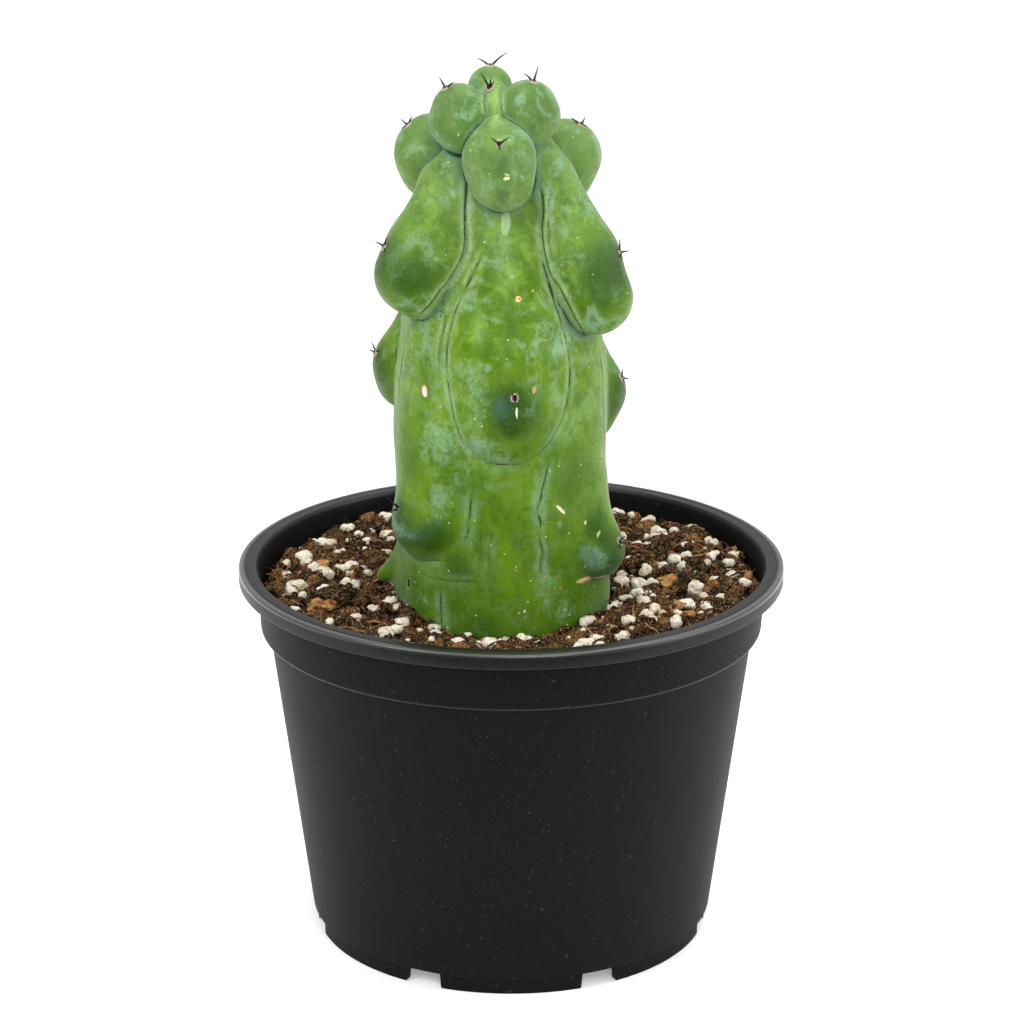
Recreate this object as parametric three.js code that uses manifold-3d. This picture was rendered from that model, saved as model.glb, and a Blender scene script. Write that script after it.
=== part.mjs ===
// A potted cactus: a ribbed column of swollen tubercles in a plastic nursery pot.
// Millimetres, +Z up. The pot stands on z = 0, its axis is the Z axis, and -Y is the front.
import * as THREE from 'three';
import { mergeVertices } from 'three/addons/utils/BufferGeometryUtils.js';
import Module from 'manifold-3d';

const wasm = await Module();
wasm.setup();

// Driving dimensions of the pot
const potHeight = 106.8;
const rimRadius = 76;
const rimInnerRadius = 71.2;
const rimEdgeRound = 1.4;
const rimInnerBevel = 1.8;
const lipDrop = 4.2;
const lipThickness = 1.3;
const bandTopRadius = 71.1;
const bandBottomRadius = 70.1;
const bandBottomHeight = 88.6;
const bandStepHalf = 0.4;
const wallTopRadius = 67.7;
const wallBottomRadius = 56.8;
const footRadius = 55.6;
const footHeight = 4.6;
const footThickness = 2;
const footRecessHeight = 0.6;
const floorThickness = 1.6;
const wallThickness = 1.4;
const floorCorner = 2;
const potSegments = 56;

// Drainage of the pot: notches in the foot ring and round holes in the raised floor
const notchCount = 7;
const notchWidth = 10.4;
const notchHeight = 4.4;
const notchFirstTurn = 180;
const drainHoleRadius = 4;
const drainHoleRing = 44;
const drainHoleSegments = 12;

// Soil
const seatGap = 0.3;
const soilEdgeHeight = 100.6;
const soilStemHeight = 98;
const soilDishStart = 28;
const soilDishEnd = 50;
const soilRings = [58, 46, 36, 24, 0];
const soilEdgeRound = 0.8;
const soilSegments = 40;

// Cactus stem: where its axis stands, and how far the crown leans to the left
const stemX = -2.7;
const stemY = -10;
const crownLean = 2.3;
const leanStart = 205;
const leanEnd = 240;
const columnSegments = 24;
const tubercleSegments = 14;
const tubercleArcSteps = 3;

// Column under the tubercles, from the buried end to the crown, as [radius, height]
const columnProfile = [
  [0, 72], [12, 73.5], [21, 79], [26.5, 87], [28.3, 97], [28.5, 112], [28.9, 130], [29.2, 150],
  [28.6, 165], [27.2, 180], [25.2, 195], [22, 210], [17.5, 222], [11.5, 232], [5.5, 238], [0, 240],
];

// Tubercles hang on six ribs. Each one is a chain of spheres, upper first, blended by tapered
// stretches: turn is the rib's angle from the front towards +X, and a sphere is
// [distance from the stem's axis, height, radius]. Its areole sits where a line leaves the
// sphere numbered "on" at the angle "facing" and the rise "up".
const tubercles = {
  crown_back: {
    turn: -160,
    spheres: [[3, 239.3, 6.4], [1.6, 241.4, 6.1]],
    areole: { on: 1, facing: -49, up: 78 },
  },
  crown_rear: {
    turn: 178,
    spheres: [[9.5, 236.5, 5.4], [13.2, 231, 7.2]],
    areole: { on: 1, facing: 176, up: 34 },
  },
  crown_tip: {
    turn: 20,
    spheres: [[2.5, 238.5, 4.6], [1.5, 241, 3.4]],
    areole: { on: 1, facing: -16, up: 62, splay: 24 },
  },
  crown_left: {
    turn: -60,
    spheres: [[10.1, 237.7, 6.4], [11.1, 235.2, 8.4]],
    areole: { on: 1, facing: -44, up: 68 },
  },
  crown_right: {
    turn: 58,
    spheres: [[11.7, 239, 6.4], [12, 236.9, 8.4]],
    areole: { on: 1, facing: 12, up: 72 },
  },
  crown_front: {
    turn: 0,
    spheres: [[13, 232.8, 5.2], [17.5, 225.8, 9.9], [21, 220.2, 6.8]],
    areole: { on: 1, facing: 8, up: 40 },
  },
  crown_back_left: {
    turn: -113,
    spheres: [[16.3, 226.6, 5.9], [18.8, 223, 10]],
    areole: { on: 1, facing: -72, up: 52 },
  },
  crown_back_right: {
    turn: 113,
    spheres: [[17.6, 226.5, 5.9], [20.1, 223, 9.6]],
    areole: { on: 1, facing: 60, up: 56 },
  },
  upper_left: {
    turn: -62,
    spheres: [[16.1, 220.3, 5.2], [24.3, 199.3, 10.9], [28.3, 190.3, 8.2]],
    areole: { on: 1, facing: -66, up: 16 },
  },
  upper_right: {
    turn: 62,
    spheres: [[18.5, 221.6, 4.7], [26.1, 198.7, 10.5], [29.8, 187.6, 8.2]],
    areole: { on: 1, facing: 57, up: 14 },
  },
  upper_back: {
    turn: 180,
    spheres: [[16.5, 220.5, 5.2], [24.8, 199, 10.9], [28.8, 189.5, 8.2]],
    areole: { on: 1, facing: 178, up: 16 },
  },
  middle_front: {
    turn: 1,
    spheres: [[14.5, 198.4, 8], [15.5, 170.4, 17.4], [19.8, 156.1, 14.2]],
    areole: { on: 1, facing: 9, up: -10 },
  },
  middle_left: {
    turn: -110,
    spheres: [[25, 179.3, 6], [27.5, 164.7, 9.9], [28.9, 158, 8.5]],
    areole: { on: 1, facing: -70, up: 22 },
  },
  middle_right: {
    turn: 110,
    spheres: [[23.7, 175.2, 6], [25.9, 156.9, 9.5], [25.7, 150.9, 7.7]],
    areole: { on: 1, facing: 72, up: 28 },
  },
  lower_left: {
    turn: -58,
    spheres: [[18, 147.9, 10.8], [21.5, 125.8, 11.7]],
    areole: { on: 1, facing: -60, up: 25 },
  },
  lower_right: {
    turn: 67,
    spheres: [[19, 130.6, 10.3], [28, 116.9, 7.9]],
    areole: { on: 1, facing: 54, up: 27 },
  },
  lower_back: {
    turn: 180,
    spheres: [[18, 147, 10.8], [22.5, 124, 11.7]],
    areole: { on: 1, facing: 183, up: 22 },
  },
  base_left: {
    turn: -95,
    spheres: [[25.3, 115.5, 6.1], [28.8, 105.6, 6.2]],
    areole: { on: 1, facing: 12, up: 8 },
  },
  base_right: {
    turn: 118,
    spheres: [[21, 118, 8], [26, 103, 9.5]],
    areole: { on: 1, facing: 112, up: 20 },
  },
};

// Areole: a low woolly pad with a few short stiff spines
const padRadius = 1.15;
const padHeight = 0.55;
const padSegments = 6;
const spineLengths = [4.4, 3.6, 3];
const spineBaseRadius = 0.38;
const spineSplay = 52;
const spineRootRise = 0.62;
const spineTurnPerAreole = 37;
const spineSides = 4;

// Loose grains that lie on the soil: [turn from the front, distance from the pot's axis, radius]
const perliteGrains = [
  [-82, 59.7, 3.3], [-120, 63, 2], [-60, 43.5, 2.5], [-38, 54.5, 2.3], [89, 35.8, 2.4],
  [101, 50.9, 2.9], [81, 51.7, 2.2], [134, 58.8, 2.1], [47, 51.4, 2.2], [32, 56, 2],
  [-27, 46, 2], [8, 53.4, 2.1], [172, 47, 2.6], [-163, 54, 2.2],
];
const barkChips = [
  [88, 44, 2.9], [58, 57, 2.4], [-67, 56.3, 3.5], [-101, 54.7, 2.8], [152, 42, 2.9],
];
const grainBuried = 0.45;
const grainRoughness = 0.16;
const grainDetail = 1;
const perliteFlatness = 0.85;
const chipFlatness = 0.62;
const chipLength = 1.35;
const pocketClearance = 1.25 * seatGap;
const perliteSeed = 11;
const barkSeed = 29;

const radians = THREE.MathUtils.degToRad;

// Colours and finishes
const potPlastic = new THREE.MeshStandardMaterial({ color: 0x2b2c2e, roughness: 0.55, metalness: 0 });
const pottingMix = new THREE.MeshStandardMaterial({ color: 0x4a3220, roughness: 0.95, metalness: 0 });
const waxySkin = new THREE.MeshStandardMaterial({ color: 0x5c9440, roughness: 0.5, metalness: 0 });
const blackSpine = new THREE.MeshStandardMaterial({ color: 0x1d1717, roughness: 0.6, metalness: 0 });
const whitePerlite = new THREE.MeshStandardMaterial({ color: 0xe9e2d4, roughness: 0.9, metalness: 0 });
const tanBark = new THREE.MeshStandardMaterial({ color: 0x9a6a38, roughness: 0.9, metalness: 0 });

// Repeatable random numbers, so that each build gives the same grains
const randomFactor = 1664525;
const randomStep = 1013904223;
const randomRange = 2 ** 32;

function seededRandom(seed) {
  let state = seed;
  return () => {
    state = (state * randomFactor + randomStep) % randomRange;
    return state / randomRange;
  };
}

function toSolid(geometry) {
  const bare = geometry.clone();
  bare.deleteAttribute('normal');
  bare.deleteAttribute('uv');
  const merged = mergeVertices(bare, 1e-4);
  const vertProperties = new Float32Array(merged.attributes.position.array);
  const triVerts = new Uint32Array(merged.index.array);
  return new wasm.Manifold(new wasm.Mesh({ numProp: 3, vertProperties, triVerts }));
}

function toGeometry(solid) {
  const { vertProperties, triVerts } = solid.getMesh();
  const geometry = new THREE.BufferGeometry();
  geometry.setAttribute('position', new THREE.BufferAttribute(new Float32Array(vertProperties), 3));
  geometry.setIndex(new THREE.BufferAttribute(new Uint32Array(triVerts), 1));
  geometry.computeVertexNormals();
  return geometry;
}

function joinAll(solids) {
  return solids.reduce((whole, solid) => whole.add(solid));
}

// A lathe about Z: the profile is [radius, height], and the turned shape faces outwards
function latheUpright(profile, segments) {
  const points = profile.map(([radius, height]) => new THREE.Vector2(radius, height));
  return new THREE.LatheGeometry(points, segments).rotateX(Math.PI / 2);
}

// A point at an angle from the front (-Y) towards +X, round the axis at (x, y)
function polar(turn, distance, height, x = 0, y = 0) {
  return new THREE.Vector3(
    x + distance * Math.sin(radians(turn)),
    y - distance * Math.cos(radians(turn)),
    height,
  );
}

function stemAxisX(height) {
  return stemX - crownLean * THREE.MathUtils.smoothstep(height, leanStart, leanEnd);
}

function spherePlace(tubercle, index) {
  const [distance, height] = tubercle.spheres[index];
  return polar(tubercle.turn, distance, height, stemAxisX(height), stemY);
}

// A body of revolution round two spheres and the cone that touches both
function taperedCapsule(from, fromRadius, to, toRadius) {
  const along = to.clone().sub(from);
  const length = along.length();
  const touch = Math.asin(THREE.MathUtils.clamp((fromRadius - toRadius) / length, -1, 1));
  const points = [];
  for (let i = 0; i <= tubercleArcSteps; i += 1) {
    const angle = THREE.MathUtils.lerp(-Math.PI / 2, touch, i / tubercleArcSteps);
    points.push(new THREE.Vector2(fromRadius * Math.cos(angle), fromRadius * Math.sin(angle)));
  }
  for (let i = 0; i <= tubercleArcSteps; i += 1) {
    const angle = THREE.MathUtils.lerp(touch, Math.PI / 2, i / tubercleArcSteps);
    points.push(new THREE.Vector2(toRadius * Math.cos(angle), length + toRadius * Math.sin(angle)));
  }
  points[0].x = 0;
  points[points.length - 1].x = 0;
  const upright = new THREE.Vector3(0, 1, 0);
  return new THREE.LatheGeometry(points, tubercleSegments)
    .applyQuaternion(new THREE.Quaternion().setFromUnitVectors(upright, along.normalize()))
    .translate(from.x, from.y, from.z);
}

function tubercleSolid(tubercle, grow) {
  const pieces = [];
  for (let i = 0; i + 1 < tubercle.spheres.length; i += 1) {
    pieces.push(toSolid(taperedCapsule(
      spherePlace(tubercle, i), tubercle.spheres[i][2] + grow,
      spherePlace(tubercle, i + 1), tubercle.spheres[i + 1][2] + grow,
    )));
  }
  return joinAll(pieces);
}

// The column, whose crown leans with the tubercles on it
function columnSolid(grow) {
  const profile = columnProfile.map(([radius, height], i) => {
    const end = i === 0 ? -grow : i === columnProfile.length - 1 ? grow : 0;
    return [radius > 0 ? radius + grow : 0, height + end];
  });
  const geometry = latheUpright(profile, columnSegments);
  const position = geometry.attributes.position;
  for (let i = 0; i < position.count; i += 1) {
    position.setX(i, position.getX(i) + stemAxisX(position.getZ(i)));
    position.setY(i, position.getY(i) + stemY);
  }
  return toSolid(geometry);
}

function stemSolid() {
  const hanging = Object.values(tubercles).map((tubercle) => tubercleSolid(tubercle, 0));
  return joinAll([columnSolid(0), ...hanging]);
}

function drainHole(place) {
  const depth = 6 * floorThickness;
  return toSolid(
    new THREE.CylinderGeometry(drainHoleRadius, drainHoleRadius, depth, drainHoleSegments)
      .rotateX(Math.PI / 2)
      .translate(place.x, place.y, place.z),
  );
}

// The pot: foot ring, tapered wall, straight band and an overhanging lip, open inside
function potSolid() {
  const floorTop = footHeight + floorThickness;
  const recessTop = footHeight + footRecessHeight;
  const footInside = footRadius - footThickness;
  const innerFloorRadius = wallBottomRadius - wallThickness;
  const innerBandRadius = bandTopRadius - wallThickness;
  const stepLow = bandBottomHeight - bandStepHalf;
  const stepHigh = bandBottomHeight + bandStepHalf;
  const lipBottom = potHeight - lipDrop;
  const lipUnderside = potHeight - lipThickness;
  const lipInside = rimRadius - lipThickness;
  const roundPoint = rimEdgeRound * 0.3;
  const profile = [
    [0, footHeight], [footInside, footHeight], [footInside, 0],
    [footRadius, 0], [footRadius, footHeight], [wallBottomRadius, recessTop],
    [wallTopRadius, stepLow], [bandBottomRadius, stepHigh], [bandTopRadius, lipUnderside],
    [lipInside, lipUnderside], [lipInside, lipBottom], [rimRadius, lipBottom],
    [rimRadius, potHeight - rimEdgeRound], [rimRadius - roundPoint, potHeight - roundPoint],
    [rimRadius - rimEdgeRound, potHeight], [rimInnerRadius, potHeight],
    [innerBandRadius, potHeight - rimInnerBevel],
    [bandBottomRadius - wallThickness, stepHigh + wallThickness],
    [wallTopRadius - wallThickness, stepLow + wallThickness],
    [innerFloorRadius, floorTop + floorCorner], [innerFloorRadius - floorCorner, floorTop],
    [0, floorTop],
  ];
  let pot = toSolid(latheUpright(profile, potSegments));
  for (let i = 0; i < notchCount; i += 1) {
    const turn = notchFirstTurn + (360 / notchCount) * i;
    const place = polar(turn, footRadius - footThickness / 2, 0);
    const notch = new THREE.BoxGeometry(notchWidth, 4 * footThickness, 2 * notchHeight)
      .rotateZ(radians(turn))
      .translate(place.x, place.y, place.z);
    pot = pot.subtract(toSolid(notch)).subtract(drainHole(polar(turn, drainHoleRing, footHeight)));
  }
  return pot.subtract(drainHole(new THREE.Vector3(0, 0, footHeight)));
}

function soilHeightAt(x, y) {
  const fromStem = Math.hypot(x - stemX, y - stemY);
  const share = THREE.MathUtils.smoothstep(fromStem, soilDishStart, soilDishEnd);
  return THREE.MathUtils.lerp(soilStemHeight, soilEdgeHeight, share);
}

// A lump of rock or bark: an icosahedron whose corners are pushed in and out
function lumpGeometry(radius, random, flatness, length) {
  const facets = new THREE.IcosahedronGeometry(radius, grainDetail);
  facets.deleteAttribute('normal');
  facets.deleteAttribute('uv');
  const shared = mergeVertices(facets, 1e-4);
  const position = shared.attributes.position;
  for (let i = 0; i < position.count; i += 1) {
    const push = 1 + grainRoughness * (2 * random() - 1);
    position.setXYZ(
      i,
      position.getX(i) * push * length,
      position.getY(i) * push,
      position.getZ(i) * push * flatness,
    );
  }
  return shared.rotateZ(random() * Math.PI * 2);
}

function looseGrains(places, seed, flatness, length) {
  const random = seededRandom(seed);
  return places.map(([turn, distance, radius]) => {
    const place = polar(turn, distance, 0);
    const height = soilHeightAt(place.x, place.y) + radius * flatness * (1 - 2 * grainBuried);
    return lumpGeometry(radius, random, flatness, length).translate(place.x, place.y, height);
  });
}

// The pocket that a grain presses into the soil: the grain itself, a little larger all round
function pocketFor(grain) {
  grain.computeBoundingBox();
  const centre = grain.boundingBox.getCenter(new THREE.Vector3());
  const half = grain.boundingBox.getSize(new THREE.Vector3()).multiplyScalar(0.5);
  const pocket = grain.clone().translate(-centre.x, -centre.y, -centre.z);
  const least = Math.min(half.x, half.y, half.z);
  const scale = 1 + pocketClearance / least;
  return pocket.scale(scale, scale, scale).translate(centre.x, centre.y, centre.z);
}

// The soil fills the pot up to a low dish round the stem, with a socket for the buried stem
function soilSolid(grains) {
  const floorTop = footHeight + floorThickness + seatGap;
  const wallGap = wallThickness + seatGap;
  const floorEdge = wallBottomRadius - wallGap;
  const corner = floorCorner + seatGap;
  const ledgeLow = bandBottomHeight + wallThickness;
  const ledgeHigh = ledgeLow + 2 * bandStepHalf + seatGap;
  const bandSlope = (bandTopRadius - bandBottomRadius) / (potHeight - bandBottomHeight);
  const edgeRadius = bandBottomRadius - wallGap + bandSlope * (soilEdgeHeight - ledgeHigh);
  const profile = [
    [0, floorTop], [floorEdge - corner, floorTop], [floorEdge, floorTop + corner],
    [wallTopRadius - wallGap, ledgeLow], [bandBottomRadius - wallGap, ledgeHigh],
    [edgeRadius, soilEdgeHeight - soilEdgeRound], [edgeRadius - soilEdgeRound, soilEdgeHeight],
    ...soilRings.map((radius) => [radius, soilEdgeHeight]),
  ];
  const geometry = latheUpright(profile, soilSegments);
  const position = geometry.attributes.position;
  for (let i = 0; i < position.count; i += 1) {
    if (position.getZ(i) > soilEdgeHeight - 1e-6) {
      position.setZ(i, soilHeightAt(position.getX(i), position.getY(i)));
    }
  }
  const buried = [tubercles.base_left, tubercles.base_right];
  const sockets = buried.map((tubercle) => tubercleSolid(tubercle, seatGap));
  let soil = toSolid(geometry).subtract(joinAll([columnSolid(seatGap), ...sockets]));
  for (const grain of grains) {
    soil = soil.subtract(toSolid(pocketFor(grain)));
  }
  return soil;
}

// Where a line from a tubercle's sphere leaves the stem, and the way the skin faces there
function areoleSeat(stemMesh, tubercle) {
  const { on, facing, up } = tubercle.areole;
  const centre = spherePlace(tubercle, on);
  const outward = polar(facing, Math.cos(radians(up)), Math.sin(radians(up)));
  const far = centre.clone().addScaledVector(outward, 2 * rimRadius);
  const ray = new THREE.Raycaster(far, outward.clone().negate());
  const [hit] = ray.intersectObject(stemMesh);
  return { point: hit.point, normal: hit.face.normal.clone(), splay: tubercle.areole.splay ?? spineSplay };
}

function coneSolid(from, direction, length) {
  const upright = new THREE.Vector3(0, 1, 0);
  const cone = new THREE.ConeGeometry(spineBaseRadius, length, spineSides)
    .translate(0, length / 2, 0)
    .applyQuaternion(new THREE.Quaternion().setFromUnitVectors(upright, direction))
    .translate(from.x, from.y, from.z);
  return toSolid(cone);
}

// Pad and spines are one body, seatGap off the skin
function areoleSolid(seat, order) {
  const pad = latheUpright([
    [0, 0], [padRadius, 0], [padRadius * 0.8, padHeight * 0.7], [0, padHeight],
  ], padSegments);
  const turnToSkin = new THREE.Quaternion().setFromUnitVectors(new THREE.Vector3(0, 0, 1), seat.normal);
  const foot = seat.point.clone().addScaledVector(seat.normal, seatGap);
  pad.applyQuaternion(turnToSkin).translate(foot.x, foot.y, foot.z);
  const solids = [toSolid(pad)];
  const root = foot.clone().addScaledVector(seat.normal, padHeight * spineRootRise);
  spineLengths.forEach((length, i) => {
    const turn = radians(order * spineTurnPerAreole + (360 / spineLengths.length) * i);
    const splay = radians(seat.splay);
    const direction = new THREE.Vector3(
      Math.sin(splay) * Math.cos(turn), Math.sin(splay) * Math.sin(turn), Math.cos(splay),
    ).applyQuaternion(turnToSkin);
    solids.push(coneSolid(root, direction, length));
  });
  return joinAll(solids);
}

function addMesh(group, name, geometry, material) {
  const mesh = new THREE.Mesh(geometry, material.clone());
  mesh.name = name;
  group.add(mesh);
  return mesh;
}

function numbered(name, index) {
  return `${name}_${String(index + 1).padStart(2, '0')}`;
}

const pottedCactus = new THREE.Group();
const perlite = looseGrains(perliteGrains, perliteSeed, perliteFlatness, 1);
const bark = looseGrains(barkChips, barkSeed, chipFlatness, chipLength);

addMesh(pottedCactus, 'pot', toGeometry(potSolid()), potPlastic);
addMesh(pottedCactus, 'soil', toGeometry(soilSolid([...perlite, ...bark])), pottingMix);
const stem = addMesh(pottedCactus, 'cactus_stem', toGeometry(stemSolid()), waxySkin);

Object.entries(tubercles).forEach(([name, tubercle], order) => {
  const seat = areoleSeat(stem, tubercle);
  addMesh(pottedCactus, `areole_${name}`, toGeometry(areoleSolid(seat, order)), blackSpine);
});
perlite.forEach((geometry, i) => {
  addMesh(pottedCactus, numbered('perlite_grain', i), geometry, whitePerlite);
});
bark.forEach((geometry, i) => {
  addMesh(pottedCactus, numbered('bark_chip', i), geometry, tanBark);
});

export default pottedCactus;
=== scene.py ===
# Potted cactus in a nursery pot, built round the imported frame. Sizes in the dictionaries are
# millimetres, and every mesh is made in millimetres and stored in metres.
import math

import bmesh
import bpy
import numpy as np
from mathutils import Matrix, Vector


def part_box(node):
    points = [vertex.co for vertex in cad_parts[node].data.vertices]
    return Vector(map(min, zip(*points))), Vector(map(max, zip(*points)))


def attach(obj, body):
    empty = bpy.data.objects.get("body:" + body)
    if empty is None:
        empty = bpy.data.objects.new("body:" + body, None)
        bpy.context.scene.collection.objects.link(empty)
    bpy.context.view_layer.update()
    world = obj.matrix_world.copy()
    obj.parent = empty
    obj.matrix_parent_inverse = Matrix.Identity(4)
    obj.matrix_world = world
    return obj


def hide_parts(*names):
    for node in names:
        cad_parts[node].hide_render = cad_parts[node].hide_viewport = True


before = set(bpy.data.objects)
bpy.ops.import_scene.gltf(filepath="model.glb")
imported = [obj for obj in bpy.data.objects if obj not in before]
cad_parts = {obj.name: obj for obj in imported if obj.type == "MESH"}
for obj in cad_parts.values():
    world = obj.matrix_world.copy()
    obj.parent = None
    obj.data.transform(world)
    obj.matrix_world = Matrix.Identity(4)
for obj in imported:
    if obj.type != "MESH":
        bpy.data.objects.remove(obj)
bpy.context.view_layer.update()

metre = 0.001


# Node trees

class Value:
    # one output socket; Python arithmetic on it adds Math nodes to its tree
    def __init__(self, tree, socket):
        self.tree = tree
        self.socket = socket

    def __add__(self, other):
        return self.tree.maths("ADD", self, other)

    def __radd__(self, other):
        return self.tree.maths("ADD", other, self)

    def __sub__(self, other):
        return self.tree.maths("SUBTRACT", self, other)

    def __rsub__(self, other):
        return self.tree.maths("SUBTRACT", other, self)

    def __mul__(self, other):
        return self.tree.maths("MULTIPLY", self, other)

    def __rmul__(self, other):
        return self.tree.maths("MULTIPLY", other, self)

    def __truediv__(self, other):
        return self.tree.maths("DIVIDE", self, other)

    def __rtruediv__(self, other):
        return self.tree.maths("DIVIDE", other, self)

    def __pow__(self, other):
        return self.tree.maths("POWER", self, other)


class Made:
    # a node just added; its outputs are read by name or number
    def __init__(self, tree, node):
        self.tree = tree
        self.node = node

    def __getitem__(self, key):
        return Value(self.tree, self.node.outputs[key])


class NodeTree:
    def __init__(self, tree):
        self.tree = tree

    def add(self, kind, settings=None, inputs=None):
        node = self.tree.nodes.new(kind)
        for key, value in (settings or {}).items():
            setattr(node, key, value)
        for key, value in (inputs or {}).items():
            self.feed(node.inputs[key], value)
        return Made(self, node)

    def feed(self, socket, value):
        if isinstance(value, Value):
            self.tree.links.new(value.socket, socket)
        else:
            socket.default_value = value

    def maths(self, operation, *values):
        return self.add("ShaderNodeMath", {"operation": operation}, dict(enumerate(values)))["Value"]

    def vectors(self, operation, *values):
        made = self.add("ShaderNodeVectorMath", {"operation": operation}, dict(enumerate(values)))
        return made["Value" if operation == "LENGTH" else "Vector"]

    def stretch(self, vector, factors):
        return self.vectors("MULTIPLY", vector, factors)

    def fade(self, value, low, high, start=0.0, end=1.0):
        # from start to end as the value goes from low to high, eased at both ends
        return self.add("ShaderNodeMapRange", {"interpolation_type": "SMOOTHSTEP"}, {
            "Value": value, "From Min": low, "From Max": high, "To Min": start, "To Max": end})["Result"]

    def tint(self, first, second, share):
        return self.add("ShaderNodeMix", {"data_type": "RGBA"}, {0: share, 6: first, 7: second})[2]

    def layers(self, colour, *coats):
        # the colour under coats of paint, each with its share
        for shade, share in coats:
            colour = self.tint(colour, paint(*shade), share)
        return colour

    def noise(self, place, size, detail=2.0, rough=0.5, warp=0.0, colour=False):
        # size is the width of one bump in millimetres
        made = self.add("ShaderNodeTexNoise", None, {
            "Vector": place, "Scale": 1 / (size * metre), "Detail": detail,
            "Roughness": rough, "Distortion": warp})
        return made["Color" if colour else "Fac"]

    def attribute(self, name):
        return self.add("ShaderNodeAttribute", {"attribute_name": name})["Fac"]

    def place(self):
        return self.add("ShaderNodeTexCoord")["Object"]

    def height(self, place):
        return self.add("ShaderNodeSeparateXYZ", None, {"Vector": place})["Z"]

    def wander(self, place, size, reach):
        # the place shifted by up to reach each way, in waves of that size; both are millimetres
        drift = self.noise(place, size, detail=2, colour=True)
        return self.vectors("ADD", place, self.stretch(drift, (reach * metre,) * 3))

    def scaled(self, vector, factor):
        return self.add("ShaderNodeVectorMath", {"operation": "SCALE"}, {
            0: vector, "Scale": factor})["Vector"]

    def turnsOf(self, **angles):
        return self.add("ShaderNodeCombineXYZ", None, angles)["Vector"]

    def named(self, key):
        # a number that the mesh carries at each point
        return self.add("GeometryNodeInputNamedAttribute", {"data_type": "FLOAT"}, {"Name": key})["Attribute"]

    def above(self, value, limit):
        return self.add("FunctionNodeCompare", {"operation": "GREATER_THAN"}, {0: value, 1: limit})["Result"]

    def chance(self, low, high, seed):
        return self.add("FunctionNodeRandomValue", {"data_type": "FLOAT"}, {2: low, 3: high, 8: seed})[1]

    def anyWay(self, low, high, seed):
        return self.add("FunctionNodeRandomValue", {"data_type": "FLOAT_VECTOR"}, {
            0: low, 1: high, 8: seed})[0]

    def copies(self, points, shape, **how):
        # one mesh of the shape repeated at each of the points
        placed = self.add("GeometryNodeInstanceOnPoints", None, {"Points": points, "Instance": shape, **how})
        return self.add("GeometryNodeRealizeInstances", None, {"Geometry": placed["Instances"]})["Geometry"]

    def tube(self, line, sides, radius, width):
        # a round rod along the line; width scales its radius at each point
        section = self.add("GeometryNodeCurvePrimitiveCircle", None, {"Resolution": sides, "Radius": radius})
        return self.add("GeometryNodeCurveToMesh", None, {
            "Curve": line, "Profile Curve": section["Curve"], "Scale": width, "Fill Caps": True})["Mesh"]

    def bentLine(self, steps, start, middle, end):
        return self.add("GeometryNodeCurveQuadraticBezier", None, {
            "Resolution": steps, "Start": start, "Middle": middle, "End": end})["Curve"]

    def coated(self, geometry, material):
        return self.add("GeometryNodeSetMaterial", None, {
            "Geometry": geometry, "Material": material})["Geometry"]

    def joined(self, parts):
        together = self.add("GeometryNodeJoinGeometry")
        for part in parts:
            self.tree.links.new(part.socket, together.node.inputs["Geometry"])
        return together["Geometry"]


def paint(red, green, blue):
    # a colour as a picture shows it, from 0 to 255, turned into the light values that shaders use
    shown = [part / 255 for part in (red, green, blue)]
    return (*[((part + 0.055) / 1.055) ** 2.4 if part > 0.04 else part / 12.92 for part in shown], 1.0)


class Finish(NodeTree):
    # a new material; its constants are the shader's own sockets, which are the same all over the surface
    def __init__(self, name, **constants):
        self.material = bpy.data.materials.new(name)
        self.material.use_nodes = True
        super().__init__(self.material.node_tree)
        self.surface = self.tree.nodes["Principled BSDF"].inputs
        for socket, value in constants.items():
            self.surface[socket.replace("_", " ")].default_value = value

    def vary(self, socket, value):
        self.feed(self.surface[socket], value)

    def coat(self, colour, relief, depth, strength=1.0):
        # depth is how far the relief seems to stand out, in millimetres
        self.vary("Base Color", colour)
        self.vary("Normal", self.add("ShaderNodeBump", None, {
            "Strength": strength, "Distance": depth * metre, "Height": relief})["Normal"])
        return self.material


# Meshes

def linked(name, mesh):
    made = bpy.data.objects.new(name, mesh)
    bpy.context.scene.collection.objects.link(made)
    return made


def objectFrom(name, points, faces, materials, smooth=True):
    mesh = bpy.data.meshes.new(name)
    mesh.from_pydata((np.asarray(points) * metre).tolist(), [], [list(map(int, face)) for face in faces])
    for material in materials:
        mesh.materials.append(material)
    mesh.validate()
    mesh.polygons.foreach_set("use_smooth", [smooth] * len(mesh.polygons))
    return linked(name, mesh)


def giveAttribute(mesh, name, values):
    # one number at each vertex, for a shader or a node tree to read
    layer = mesh.attributes.new(name, "FLOAT", "POINT")
    layer.data.foreach_set("value", np.asarray(values, np.float32))


def readValues(items, key, width, kind=np.float32):
    values = np.zeros(width * len(items), kind)
    items.foreach_get(key, values)
    return values.reshape(-1, width)


def triangleCount(mesh):
    return sum(len(face.vertices) - 2 for face in mesh.polygons)


def fullTurn(count):
    return np.arange(count) * 2 * math.pi / count


def settle(piece, slot, *nodes):
    # the piece rides on the part's one body and stands for these nodes
    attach(piece, "root")
    if nodes:
        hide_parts(*nodes)


def evaluated(piece):
    # the mesh that the piece's modifiers make
    graph = bpy.context.evaluated_depsgraph_get()
    graph.update()
    return bpy.data.meshes.new_from_object(piece.evaluated_get(graph))


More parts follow.
